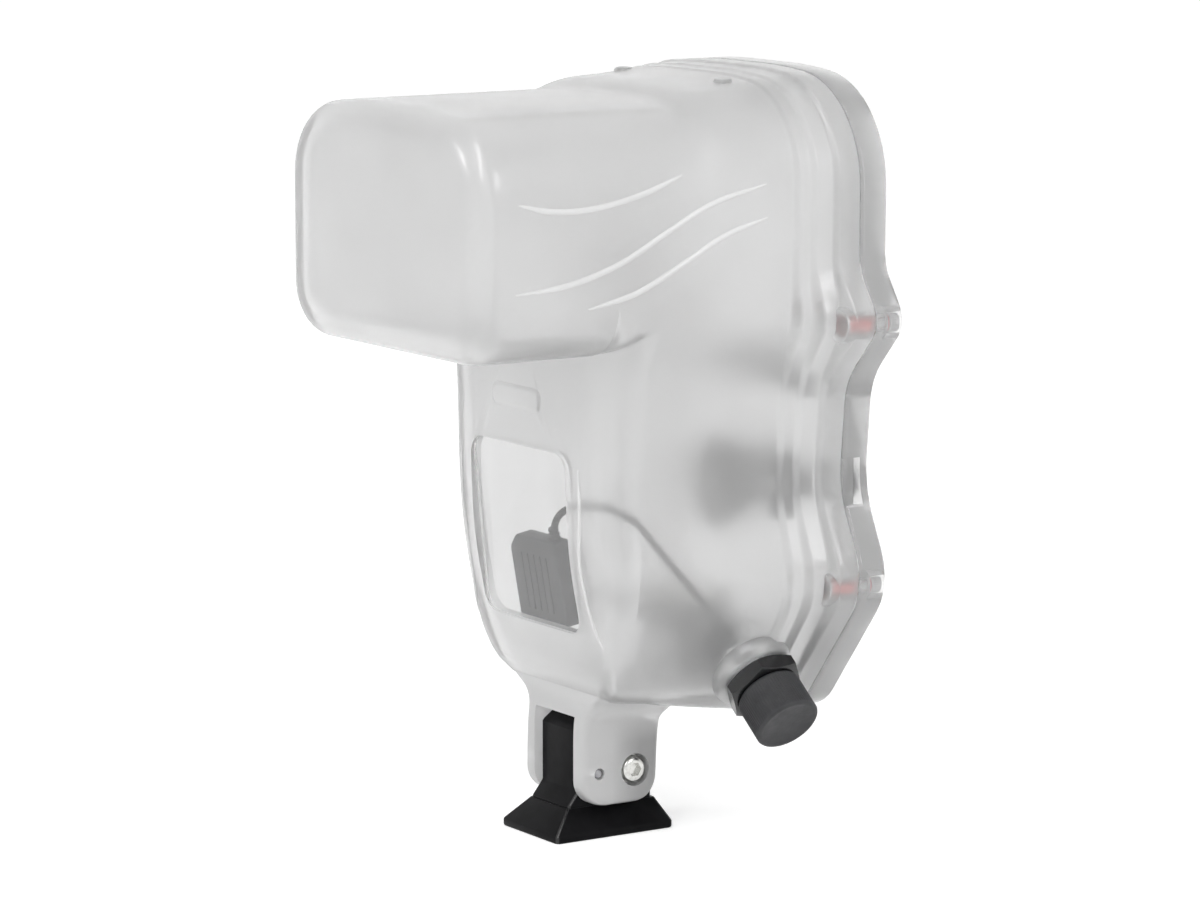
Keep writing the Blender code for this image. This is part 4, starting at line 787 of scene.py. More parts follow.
def moved(mesh, at, axis=None):
    """The mesh on a point, with its own Z along an axis."""
    turn = Vector(axis).to_track_quat("Z", "Y").to_matrix().to_4x4() if axis else Matrix.Identity(4)
    mesh.transform(Matrix.Translation(at) @ turn)
    return mesh


def solid(mesh, look, name="tool"):
    mesh.materials.clear()
    mesh.materials.append(LOOKS[look])
    made = bpy.data.objects.new(name, mesh)
    bpy.context.scene.collection.objects.link(made)
    return made


def placed(look, mesh, at, axis=UP):
    return solid(moved(mesh, at, axis), look)


def work(target, *steps):
    """Runs joins and cuts on a mesh one after another and keeps the result."""
    for operation, others in steps:
        for other in others:
            made = target.modifiers.new("step", "BOOLEAN")
            made.operation = operation
            made.object = other
            made.solver = "EXACT"
            made.material_mode = "TRANSFER"
    bpy.context.view_layer.update()
    graph = bpy.context.evaluated_depsgraph_get()
    mesh = bpy.data.meshes.new_from_object(target.evaluated_get(graph), depsgraph=graph)
    target.modifiers.clear()
    target.data = mesh
    for _, others in steps:
        for other in others:
            bpy.data.objects.remove(other, do_unlink=True)
    made = bmesh.new()
    made.from_mesh(mesh)
    bmesh.ops.remove_doubles(made, verts=made.verts, dist=1e-6)
    bmesh.ops.dissolve_degenerate(made, edges=made.edges, dist=1e-6)
    made.to_mesh(mesh)
    made.free()
    return target


def stands_for(node, made, angle=35):
    """Smooths a piece, gives it the body of its CAD node and hides the node in its stead."""
    smooth(made.data, angle)
    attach(made, BODY_OF[node])
    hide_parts(node)
    return made


def make(node, mesh, at=(0, 0, 0), axis=None, joins=(), meets=(), cuts=(), angle=35, look=None):
    """A finished piece from meshes in one frame of their own, put on a point with their Z along an axis."""
    look = look or SLOT_OF[node]
    made = solid(moved(mesh, at, axis), look, node + "_detail")
    tools = []
    for operation, others in (("UNION", joins), ("INTERSECT", meets), ("DIFFERENCE", cuts)):
        if others:
            tools.append((operation, [solid(moved(other, at, axis), look) for other in others]))
    if tools:
        work(made, *tools)
    return stands_for(node, made, angle)


def tube_on(points, radius, look, name, sides, closed=False):
    """A round cord or wire through points, as a mesh."""
    last = len(points) - 1
    rings, side = [], None
    for i, at in enumerate(points):
        ahead = points[(i + 1) % len(points)] if closed or i < last else at
        behind = points[i - 1] if closed or i > 0 else at
        along = (ahead - behind).normalized()
        if side is None:
            side = along.orthogonal().normalized()
        side = (side - along * side.dot(along)).normalized()
        other = along.cross(side)
        rings.append([at + (side * math.cos(a) + other * math.sin(a)) * radius for a in round_angles(sides)])
    return solid(loft(rings, closed), look, name)


# The front shell


def lug_and_neck():
    """The neck that narrows from the case's floor and the lobes below it, in one soft form."""
    levels = []
    for angle in quarter(12):
        rise, drop = LUG_ROUND * (1 - math.cos(angle)), LUG_ROUND * (1 - math.sin(angle))
        left = max(LUG_RIM - rise, 0)
        half = LUG_HALF - LUG_RIM + math.sqrt(LUG_RIM**2 - left**2)
        levels.append((LUG_BOTTOM + rise, half, LUG_FRONT + drop, LUG_LOW_BACK - drop, 0.0022))
    levels += [
        (0.0300, LUG_HALF, LUG_FRONT, 0.0158, 0.0026),
        (0.0355, LUG_HALF + 0.0003, LUG_FRONT + 0.0002, 0.0168, 0.0034),
        (0.0385, LUG_HALF + 0.0012, LUG_FRONT + 0.0006, 0.0200, 0.0042),
        (0.0425, LUG_HALF + 0.0050, LUG_FRONT + 0.0012, 0.0252, 0.005),
        (0.0465, LUG_HALF + 0.0110, LUG_FRONT + 0.0010, 0.0302, 0.005),
        (0.0500, LUG_HALF + 0.0130, LUG_FRONT, 0.0322, 0.005),
    ]
    rings = []
    for z, half, front, back, corner in levels:
        outline = rounded_box(2 * half, back - front, corner)
        rings.append([Vector((x, z, y + (front + back) / 2)) for x, y in outline])
    return loft([[Vector((p.x, p.z, p.y)) for p in ring] for ring in refined(rings, LUG_GAP)])


def raised_line(hits, wide, proud):
    """A low line along points on the skin, each with its normal, half sunk in it and thinner at its ends."""
    rings = []
    last = len(hits) - 1
    for i, (at, normal, *_) in enumerate(hits):
        along = (hits[min(i + 1, last)][0] - hits[max(i - 1, 0)][0]).normalized()
        side = along.cross(normal).normalized()
        share = min(1.0, 0.35 + 4 * min(i, last - i) / last)
        across, up = wide * share, proud * share
        angles = round_angles(12, 0.5)
        rings.append([at + side * (across * math.cos(a)) + normal * (up * math.sin(a)) for a in angles])
    # The line takes the ribs' lighter look, a painted highlight along it
    return solid(loft(rings), "clear_rib")


def ribs(skin):
    """The raised lines on both sides of the hood and the chest."""
    tree = BVHTree.FromPolygons([v.co for v in skin.vertices], [p.vertices for p in skin.polygons])
    made = []
    for side in (1, -1):
        for knots in RIBS:
            starts = [Vector((side * 0.1, *spot)) for spot in curve_through(knots, 8)]
            hits = [tree.ray_cast(start, Vector((-side, 0, 0))) for start in starts]
            made.append(raised_line(hits, 0.0009, 0.0005))
        line = [Vector((side * p.x, p.y, p.z)) for p in curve_through(CHEST_LINE, 4)]
        made.append(raised_line([tree.find_nearest(p) for p in line], 0.0007, 0.0004))
    return made


def boss():
    """The soft round boss under the connector."""
    low, fillet = -0.012, 0.003
    edge = [(BOSS_R - fillet * (1 - math.sin(a)), -fillet * (1 - math.cos(a))) for a in quarter(5)]
    profile = [(0, 0), *edge, (BOSS_R + 0.0006, -0.007), (BOSS_R + 0.0012, low), (0, low)]
    return placed("clear_shell", turned(profile), SEAT, SEAT_AXIS)


def pad():
    """The low raised pad above the window, its sides in a soft double curve."""
    rings = []
    for step in range(-1, 9):
        t = max(step, 0) / 8
        y = CHEST_FRONT - PAD_PROUD * (3 * t**2 - 2 * t**3) + (0.002 if step < 0 else 0.0001)
        wide, tall = (size + 0.002 - 0.0056 * t for size in PAD_SIZE)
        outline = rounded_box(wide, tall, 0.0038 - 0.0020 * t)
        rings.append([Vector((x, y, z + PAD_HEIGHT)) for x, z in outline])
    return solid(loft(rings), "clear_shell")


def pip(x):
    profile = [(0, PIP_PROUD), (PIP_R * 0.6, PIP_PROUD), (PIP_R * 0.85, PIP_PROUD * 0.75)]
    profile += [(PIP_R, 0), (PIP_R, -0.003), (0, -0.003)]
    return placed("clear_shell", turned(profile, 32), (x, PIP_SPOT[1], HOOD_TOP + 0.0034))


def insert_boss(x, z):
    depth, radius = INSERT_LONG + 2 * TOUCH + INSERT_WALL, INSERT_R + TOUCH + INSERT_WALL
    profile = [(0, -0.002), (radius, -0.002), (radius, -depth + 0.0012), (radius - 0.0004, -depth + 0.0004)]
    profile += [(radius - 0.0014, -depth), (0, -depth)]
    return placed("clear_shell", turned(profile, 40), (x, JOINT, z), BACK)


def window_cut(low, high):
    """What cuts one side of the window: clear on its face and frosted round it."""
    made = solid(prism(rounded_box(*WINDOW_SIZE, WINDOW_CORNER), low, high), "clear_window")
    made.data.materials.append(LOOKS["clear_shell"])
    for face in made.data.polygons:
        face.material_index = 0 if abs(face.normal.y) > 0.7 else 1
    made.data.transform(Matrix.Translation((0, *WINDOW_CENTRE)) @ Matrix.Rotation(WINDOW_TILT, 4, "X"))
    return made


def front_shell():
    skin = loft(outer_rings())
    raised = ribs(skin)
    shell = solid(skin, "clear_shell", "case_shell")
    pips = [pip(side * PIP_SPOT[0]) for side in (-1, 1)]
    bosses = [insert_boss(x, z) for x, z in CLOSURES.values()]
    joins = [solid(lug_and_neck(), "clear_lug"), boss(), pad(), *pips, *bosses, *raised]

    inside = solid(loft(inner_rings()), "clear_inside")
    work(inside, ("INTERSECT", [solid(prism(rounded(*MOUTH), HOOD_FRONT, JOINT + 0.001), "clear_shell")]))
    slot_top = POST_TOP + TOUCH
    slot = block((2 * (POST_HALF + TOUCH), 0.06, slot_top), (0, 0.005, slot_top / 2))
    cuts = [inside, solid(slot, "clear_lug"), *[window_cut(*depths) for depths in WINDOW_CUTS]]
    seat_bores = (
        (BARREL_R + RUN, -0.02, 0.004),
        (BARREL_R + 2 * RING_R + 0.0007, -0.0018, 0.004),
        (BACK_FLANGE_R + RUN, -0.02, -WALL_AT_SEAT),
    )
    cuts += [placed("clear_shell", drum(*bore), SEAT, SEAT_AXIS) for bore in seat_bores]
    clamp, dowel = (0, CLAMP_Y, CLAMP_Z), (0, DOWEL_Y, DOWEL_Z)
    cuts += [placed("clear_lug", *hole) for hole in (
        (drum(CLAMP_R + RUN, -0.02, 0.02), clamp, RIGHT),
        (drum(CLAMP_HEAD_R + 0.0008, LUG_HALF - WALL - 0.0001, 0.02), clamp, RIGHT),
        (hexagon(NUT_AF + 2 * RUN, LUG_HALF - NUT_THICK - RUN, 0.02), clamp, LEFT),
        (drum(DOWEL_R + RUN, -0.02, 0.02), dowel, RIGHT),
    )]
    for x, z in CLOSURES.values():
        hole = drum(INSERT_R + TOUCH, -INSERT_LONG - 2 * TOUCH, 0.002, 32)
        cuts.append(placed("clear_shell", hole, (x, JOINT, z), BACK))
    for y in BRACKET_SPOTS:
        hole = drum(BRACKET_SCREW_R + RUN, -BRACKET_SCREW_DEEP - RUN, 0.004, 24)
        cuts.append(placed("clear_shell", hole, (0, y, SHOE_FLOOR)))
    stands_for("front_shell", work(shell, ("UNION", joins), ("DIFFERENCE", cuts)), 30)


# The rear cover


def cover_prism(row, low, high):
    return solid(prism(rounded(*row), low, high), "clear_cover")


def rear_cover():
    edge = 0.0011
    rim = [(edge * (1 - math.sin(a)), edge * (1 - math.cos(a))) for a in quarter(4)]
    levels = [(COVER_FRONT + y, d) for y, d in reversed(rim)] + [(COVER_BACK - y, d) for y, d in rim]
    cover = solid(loft([ring_at(y, inset(*RIM, d)) for y, d in levels]), "clear_cover", "cover_plate")
    lip = cover_prism(inset(*MOUTH, LIP_GAP), JOINT - LIP_DEEP, COVER_FRONT + 0.001)
    pocket = cover_prism(inset(*MOUTH, LIP_GAP + LIP_THICK), JOINT - LIP_DEEP - 0.002, PANEL_FRONT)
    half, floor = SEAL_R + SEAL_ROOM, COVER_FRONT + 2 * SEAL_R
    groove = cover_prism(inset(*SEAL, -half), JOINT - 0.001, floor + SEAL_ROOM)
    work(groove, ("DIFFERENCE", [cover_prism(inset(*SEAL, half), JOINT - 0.002, floor + 0.002)]))
    cuts = [pocket, groove]
    for side in (-1, 1):
        middle = (side * (RIM_HALF - 0.0095), COVER_FRONT + NOTCH_LONG / 2 - 0.0005, NOTCH_HEIGHT)
        cuts.append(solid(block((2 * NOTCH_DEEP, NOTCH_LONG, NOTCH_TALL), middle), "clear_cover"))
    seat = COVER_THICK - SCREW_HEAD_H - WASHER_THICK - 3 * TOUCH
    for x, z in CLOSURES.values():
        for radius, low in ((SCREW_R + RUN, -0.001), (SCREW_HEAD_R + 0.0006, seat)):
            hole = drum(radius, low, COVER_THICK + 0.001, 40)
            cuts.append(placed("clear_cover", hole, (x, COVER_FRONT, z), BACK))
    for x, z in (*BUTTON_SPOTS, SELECT_SPOT, POWER_SPOT):
        hole = drum(GLAND_R + TOUCH, -0.001, PANEL_THICK + 0.001, 40)
        cuts.append(placed("clear_cover", hole, (x, PANEL_FRONT, z), BACK))
    stands_for("rear_cover", work(cover, ("UNION", [lip]), ("DIFFERENCE", cuts)), 30)


def cover_seal():
    points = [Vector((p.x, COVER_FRONT + SEAL_R, p.y)) for p in rounded(*SEAL)]
    seal = tube_on(points, SEAL_R, "seal_rubber", "cover_seal_ring", 14, closed=True)
    stands_for("cover_o_ring", seal, 60)


def closures():
    seat = COVER_BACK - SCREW_HEAD_H - WASHER_THICK - 3 * TOUCH
    bore = SCREW_R + RUN
    for name, (x, z) in CLOSURES.items():
        knurl = knurled(INSERT_R, 0.0002, 24, 900, -0.0006, -0.0036)
        other = knurled(INSERT_R, 0.0002, 24, -900, -0.0048, -0.0077)
        ring = [(0.0028, -TOUCH), *knurl, *mm((2.6, -3.8), (2.6, -4.6)), *other]
        ring += [(0.0028, -INSERT_LONG), (bore, -INSERT_LONG), (bore, -TOUCH)]
        make("closure_insert_" + name, turned(ring, 96), (x, JOINT, z), BACK)
        ring = eased(sleeve(bore, SCREW_HEAD_R, 0, WASHER_THICK))
        make("closure_washer_" + name, turned(ring, 48), (x, seat + TOUCH, z), BACK)
        at = (x, seat + 2 * TOUCH + WASHER_THICK, z)
        head = [*mm((0, 3.5), (2.9, 3.5), (3.3, 3.3)), *fluted(SCREW_HEAD_R, 0.00016, 28, 0.0031, 0.0005)]
        head += mm((3.4, 0.1), (3.3, 0))
        body = screw(head, SCREW_R, 0.005, at[1] - JOINT + 0.0065, 0.0007, 112)
        socket = hexagon(0.003, 0.0013, 0.004)
        make("closure_screw_" + name, body, at, BACK, cuts=[socket], look="connector_metal")


# The foot


def gloss_edges(made, look):
    """The rounded upright edges, rubbed to a gloss by handling."""
    made.data.materials.append(LOOKS[look])
    for face in made.data.polygons:
        if min(abs(face.normal.x), abs(face.normal.y)) > 0.2:
            face.material_index = 1


def mounting_foot():
    plate = layered(mm(
        (0, 15.5, -21, 21, 1.1),
        (0.3, 15.85, -21.35, 21.35, 1.4),
        (0.7, 16, -21.5, 21.5, 1.5),
        (2.2, 16, -21.5, 21.5, 1.5),
        (2.6, 15.8, -21.3, 21.3, 1.4),
        (9, 11.2, -14.7, 18.1, 1.2),
        (9.3, 10.9, -14.4, 17.8, 1),
    ))
    post = layered(mm(
        (4, 10.8, -13.9, 16.8, 1),
        (9.7, 10.8, -13.9, 16.8, 1.3),
        (10.3, 10.8, -13.6, 16.8, 1.4),
        (14, 10.8, -10.7, 16.8, 1.5),
        (14.7, 10.8, -10.4, 16.8, 1.6),
        (33, 10.8, -10.4, 16.8, 1.6),
        (33.8, 10.6, -9.9, 16.3, 1.6),
        (36.9, 9.1, -7.1, 13.5, 1.6),
        (37.7, 8.4, -6.2, 12.6, 1.3),
    ))
    cuts = [moved(drum(CLAMP_R + RUN, -0.02, 0.02, 40), (0, CLAMP_Y, CLAMP_Z), RIGHT)]
    cuts.append(moved(drum(DOWEL_R + RUN, -0.02, 0.02, 32), (0, DOWEL_Y, DOWEL_Z), RIGHT))
    for side in (-1, 1):
        turns = thread(0.0023, 0.0007, 0.0003, 0.0062, 0.0006)
        hole = [(0, 0.0065), *turns, *mm((2.8, -0.2), (2.8, -2), (0, -2))]
        cuts.append(moved(turned(hole, 36), (0, side * 0.0125, 0)))
    gloss_edges(make("mounting_foot", plate, joins=[post], cuts=cuts, angle=28), "nut_black")


def foot_fasteners():
    seat = LUG_HALF - WALL + TOUCH
    head = mm((0, 2), (2.7, 2), (3.4, 1.85), (3.9, 1.4), (4.2, 0.8), (4.3, 0.3), (4.2, 0))
    body = screw(head, CLAMP_R, 0.012, 0.0311, 0.0008)
    at = (seat + TOUCH + WASHER_THICK, CLAMP_Y, CLAMP_Z)
    make("foot_clamp_screw", body, at, RIGHT, cuts=[hexagon(0.004, 0.0005, 0.003)])
    ring = eased(sleeve(0.0028, 0.0046, 0, WASHER_THICK), 0.00025)
    make("foot_screw_washer", turned(ring, 56), (seat, CLAMP_Y, CLAMP_Z), RIGHT)
    low, high = LUG_HALF - NUT_THICK, LUG_HALF - 0.0002
    nut = hexagon(NUT_AF, low, high)
    make("foot_clamp_nut", nut, (0, CLAMP_Y, CLAMP_Z), LEFT, **nut_tools(NUT_AF, low, high, 0.0028))
    pin = eased(bar(DOWEL_R, -0.0165, 0.0165), 0.0007, 5)
    make("foot_dowel_pin", turned(pin, 36), (0, DOWEL_Y, DOWEL_Z), RIGHT, look="connector_metal")


# The connector and its cap


def at_seat(node, mesh, **rest):
    return make(node, mesh, SEAT, SEAT_AXIS, **rest)


def ring_seal(node, middle, height):
    profile = [(middle + RING_R * math.cos(a), height - RING_R * math.sin(a)) for a in round_angles(16)]
    at_seat(node, turned(profile, 72), angle=60)


def connector():
    flange = -WALL_AT_SEAT - TOUCH
    back = flange - BACK_FLANGE_THICK
    barrel = [*mm((5.5, 14.3), (5.7, 14.5), (6.6, 14.5)), *thread(BARREL_R, 0.001, 0.0004, 0.0142, -0.0002)]
    barrel += [(BARREL_R, -0.0006), (BARREL_R, flange), (0.0103, flange), (BACK_FLANGE_R, flange - 0.0003)]
    barrel += [(BACK_FLANGE_R, back + 0.0003), (0.0102, back), (0.0057, back), (0.0055, back + 0.0002)]
    at_seat("connector_body", turned(barrel, 96))
    low, high = TOUCH, TOUCH + CONNECTOR_NUT_THICK
    nut = hexagon(CONNECTOR_NUT_AF, low, high)
    at_seat("connector_nut", nut, **nut_tools(CONNECTOR_NUT_AF, low, high, BARREL_R + RUN))
    middle = BARREL_R + TOUCH + RING_R
    ring_seal("connector_o_ring", middle, -TOUCH - RING_R)
    ring_seal("cap_o_ring", middle, high + TOUCH + RING_R)
    face, ring, root = 0.0085, 0.003, 0.0075
    pins, cups = [], []
    for a in round_angles(5):
        spot = (ring * math.cos(a), ring * math.sin(a), 0)
        pin = [*mm((0, 12), (0.3, 11.9), (0.6, 11.5)), (0.0006, root), (0, root)]
        pins.append(moved(turned(pin, 20), spot))
        cups.append(moved(drum(0.0007, back - 0.001, back + 0.0015, 20), spot))
    at_seat("connector_insert", turned(eased(bar(0.0052, back, face), 0.0004)), joins=pins, cuts=cups)


def connector_cap():
    low, high = 0.0061, 0.0196
    bore, crown, skirt = BARREL_R + RUN, high - 0.003, low + 0.0022
    top = mm((0, -0.2), (8.4, -0.2), (8.8, -0.05), (9.3, 0), (9.8, -0.1), (10.2, -0.4))
    foot = mm((10.2, 0.3), (9.9, 0), (9.5, 0), (9.3, 0.2))
    profile = [(radius, high + z) for radius, z in top]
    profile += fluted(0.0104, 0.0002, 72, high - 0.0008, low + 0.0008)
    profile += [(radius, low + z) for radius, z in foot]
    profile += [(0.0093, skirt), (bore, skirt), (bore, crown), (0, crown)]
    at_seat("connector_cap", turned(profile, 288), angle=50)


# The hot shoe, the interface module and their leads


def hot_shoe():
    front, back, low, high, sheet = 0.024, 0.051, SHOE_FLOOR, SHOE_FLOOR + 0.0165, 0.0022
    profile = [(back, low), (back, low + sheet), (front + sheet, low + sheet), (front + sheet, high - sheet)]
    profile += [(back, high - sheet), (back, high), (front, high), (front, low)]
    bends = [0.0004, 0.0004, 0.0012, 0.0012, 0.0004, 0.0004, 0.003, 0.003]
    bore = BRACKET_SCREW_R + RUN
    holes = [moved(drum(bore, -0.001, sheet + 0.001, 28), (0, y, low)) for y in BRACKET_SPOTS]
    make("shoe_bracket", soft_across(polygon(profile, bends, 5), 0.012, 0.0003, 2), cuts=holes)
    head = mm((0, 2), (1.8, 2), (2.3, 1.8), (2.6, 1.2), (2.6, 0.2), (2.4, 0))
    for number, y in enumerate(BRACKET_SPOTS, start=1):
        body, socket = screw(head, BRACKET_SCREW_R, 0.0022, 0.005, 0.0005, 32), hexagon(0.002, 0.0007, 0.003)
        make(f"bracket_screw_{number}", body, (0, y, low + sheet + TOUCH), cuts=[socket])
    grooves = [block((0.0008, 0.03, 0.0008), (side * 0.0085, 0, 0.005)) for side in (-1, 1)]
    foot = high + TOUCH
    base = slab(0.022, 0.023, 0, 0.005, 0.0015, 0.0006)
    make("shoe_base", base, (0, (front + back) / 2, foot), cuts=grooves)
    half, thick, lip, rail = 0.012, 0.001, 0.0035, foot + 0.0053
    top = rail + 0.0045
    outline = [(-half, rail), (-half, top), (-half + lip, top), (-half + lip, top - thick)]
    outline += [(-half + thick, top - thick), (-half + thick, rail + thick)]
    outline += [(-x, z) for x, z in reversed(outline)]
    bends = [0.0012, 0.0012, 0.0004, 0.0004, 0.0004, 0.0004]
    make("shoe_rails", prism(polygon(outline, bends + bends[::-1]), 0.026, 0.049))


def interface_module():
    """The grey block behind the window, with one corner cut off and shallow grooves down its face."""
    side, cut, thick = MODULE_HALF, 0.0092, MODULE_HALF_THICK
    outline = [(-side, -side), (side, -side), (side, side), (-cut, side), (-side, cut)]
    body = soft_prism(polygon(outline, [0.0015] * 5), -thick, thick, 0.0008)
    grooves = [block((0.0008, 0.0007, 0.018), (0.0035 * i, -thick, -0.001)) for i in (-2, -1, 0, 1, 2)]
    for mesh in (body, *grooves):
        mesh.transform(Matrix.Translation(MODULE_CENTRE) @ Matrix.Rotation(MODULE_TILT, 4, "X"))
    make("interface_module", body, cuts=grooves)


def tilted(point):
    return Matrix.Rotation(MODULE_TILT, 3, "X") @ Vector(point)


def on_module(point):
    return MODULE_CENTRE + tilted(point)


def relief(name, start, out):
    """A short sleeve with ribs where a lead leaves what holds it."""
    profile = [(LEAD_R, 0.0036), (LEAD_R + 0.0003, 0.0036)]
    for top, grown in ((0.0032, LEAD_R + 0.0005), (0.0018, LEAD_R + 0.0007)):
        profile += [(grown, top), (grown, top - 0.0007)]
        profile += [(grown - 0.0003, top - 0.0008), (grown - 0.0002, top - 0.0013)]
    profile += [(LEAD_R + 0.0009, 0.0004), (LEAD_R + 0.0009, 0.0001), (LEAD_R, 0.0001)]
    made = solid(moved(turned(profile, 28), start, out), "lead_black", name)
    smooth(made.data)
    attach(made, "case")
    return made


def evenly(points, gap):
    """Points along a line at equal steps."""
    walked = [0.0]
    for a, b in zip(points, points[1:]):
        walked.append(walked[-1] + (b - a).length)
    count = round(walked[-1] / gap)
    made, k = [], 0
    for i in range(count + 1):
        far = walked[-1] * i / count
        while k < len(points) - 2 and walked[k + 1] < far:
            k += 1
        made.append(points[k].lerp(points[k + 1], (far - walked[k]) / (walked[k + 1] - walked[k])))
    return made


def lead(node, start, out, knots, end, back):
    """A limp lead through its knots, straight where it leaves its two ends and eased between them."""
    inner = curve_through([start + out * 0.0012, *knots, end + back * 0.0020], 12)
    points = evenly([start, *inner, end], 0.001)
    for _ in range(20):
        free = range(3, len(points) - 3)
        points[3:-3] = [points[i] * 0.5 + (points[i - 1] + points[i + 1]) * 0.25 for i in free]
    made = tube_on(points, LEAD_R, SLOT_OF[node], node + "_detail", 16)
    sleeves = [relief(node + "_sleeve_1", start, out), relief(node + "_sleeve_2", end, back)]
    stands_for(node, made, 60)


def leads():
    flange = SEAT - SEAT_AXIS * (WALL_AT_SEAT + 2 * TOUCH + BACK_FLANGE_THICK)
    knots = mm(
        (8.2, -16.5, 98.5),
        (11.8, -15.5, 103),
        (19, -12, 105.2),
        (28, -8, 104),
        (35, -3, 98),
        (38, 5, 88),
        (38, 15, 77.5),
        (35.5, 23.5, 70),
        (31.5, 30.5, 65.5),
        (28, 35.5, 62),
    )
    top = on_module((0.009, 0, MODULE_HALF + TOUCH))
    lead("connector_lead", top, tilted(UP), map(Vector, knots), flange, -SEAT_AXIS)
    behind = MODULE_HALF_THICK + TOUCH
    shoe = Vector((0.0, 0.026 - TOUCH, SHOE_FLOOR + 0.0168 + 0.0025))
    knots = [on_module((-0.004, behind + 0.005, -0.0085)), on_module((-0.003, behind + 0.013, -0.010))]
    knots.append(shoe + Vector((0, -0.008, 0.0008)))
    lead("shoe_lead", on_module((-0.004, behind, -0.008)), tilted(BACK), knots, shoe, Vector((0, -1, 0)))


# The controls on the cover


def gland(name, spot, shaft):
    x, z = spot
    low, high, bore = -0.0018, PANEL_THICK + TOUCH, shaft + RUN
    top = high + GLAND_FLANGE
    profile = [(GLAND_FLANGE_R, top), (GLAND_FLANGE_R, high), (GLAND_R, high), (GLAND_R, low)]
    profile += [(bore, low), (bore, top)]
    slot = block((0.0009, 0.02, 0.0009), (0, 0, top))
    make(name, turned(eased(profile, 0.0004), 56), (x, PANEL_FRONT, z), BACK, cuts=[slot])


def clip_outline():
    """A ring that is open over 80 degrees, with three prongs that reach into the shaft's groove."""
    sweep = [40 + 280 * i / 56 for i in range(57)]
    spots = [(0.0033, math.radians(degrees)) for degrees in sweep]
    for degrees in reversed(sweep):
        prong = min(abs(degrees - middle) for middle in (60, 180, 300)) < 14
        spots.append((BUTTON_SHAFT_R if prong else 0.0024, math.radians(degrees)))
    return [(radius * math.cos(a), radius * math.sin(a)) for radius, a in spots]


def button_spring(name, x, z):
    """Two and a half turns of wire between the gland and the button's head."""
    turns, coil, start, rise = 2.5, 0.0026, 0.0714, 0.0041
    count = round(turns * 32)
    points = []
    for i in range(count + 1):
        a = 2 * math.pi * i / 32
        points.append(Vector((x + coil * math.cos(a), start + rise * i / count, z + coil * math.sin(a))))
    spring = tube_on(points, SPRING_WIRE_R, "stainless", name + "_detail", 12)
    return stands_for(name, spring, 60)


def push_buttons():
    head = mm((0, 9.1), (3.4, 9.1), (4, 9.3), (4.5, 9.5), (5, 9.4), (5.4, 9), (5.5, 8.5), (5.5, 7.2))
    head += mm((5.3, 7), (5.3, 6.6), (5.5, 6.4), (5.5, 5.6), (5.2, 5.3), (1.6, 5.3))
    shaft = mm((1.6, -10.3), (1.3, -10.3), (1.3, -11.7), (1.6, -11.7), (1.6, -18.1), (1.2, -18.5), (0, -18.5))
    for number, (x, z) in enumerate(BUTTON_SPOTS, start=1):
        gland(f"button_gland_{number}", (x, z), BUTTON_SHAFT_R)
        make(f"push_button_{number}", turned([*head, *shaft]), (x, CONTROL_FACE, z), BACK)
        make(f"button_clip_{number}", prism(clip_outline(), 0, 0.0008), (x, CLIP_FRONT, z))
        spring = button_spring(f"button_spring_{number}", x, z)
        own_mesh(spring)


def rotary_shaft(name, spot, low, high):
    """A knob's shaft with two grooves for its seals."""
    radius, groove = KNOB_SHAFT_R, KNOB_SHAFT_R - 0.0003
    profile = [(0, high), (radius, high)]
    for top in (-0.0030, -0.0060):
        profile += [(radius, top), (groove, top), (groove, top - 0.0012), (radius, top - 0.0012)]
    profile += [(radius, low), (0, low)]
    make(name, turned(eased(profile, 0.0003, 2), 40), (spot[0], CONTROL_FACE, spot[1]), BACK)


def select_control():
    gland("select_gland", SELECT_SPOT, KNOB_SHAFT_R)
    rotary_shaft("select_shaft", SELECT_SPOT, -0.0225, 0.0048)
    x, z = SELECT_SPOT
    profile = mm((0, 7.3), (6, 7.3), (6.6, 7.5), (7.2, 7.9), (8, 8), (9.2, 8))
    grip = mm((10.3, 7.7), (10.8, 7.2), (11, 6.5), (11, 1.2), (10.8, 0.6), (10.4, 0.3))
    profile += [*[(scalloped(radius), height) for radius, height in grip], (0, 0.0003)]
    mark = moved(slab(0.0009, 0.0034, 0.0060, 0.00765, 0.0004, 0.0002), (0, 0.0042, 0))
    bore = drum(KNOB_BORE_R, -0.002, 0.0051, 40)
    make("select_knob", turned(profile, 240), (x, CONTROL_FACE, z), BACK, joins=[mark], cuts=[bore])
    profile = [(0.0132, 0.006), *fluted(0.014, 0.0005, 48, 0.0054, 0.0006)]
    profile += mm((13.2, 0), (10.4, 0), (9.8, 1.2), (5.5, 1.2), (4.9, 0), (2.7, 0))
    profile += mm((2.7, 6), (4.9, 6), (5.5, 4.8), (9.8, 4.8), (10.4, 6))
    make("select_wheel", turned(profile, 192), (x, WHEEL_FRONT, z), BACK)


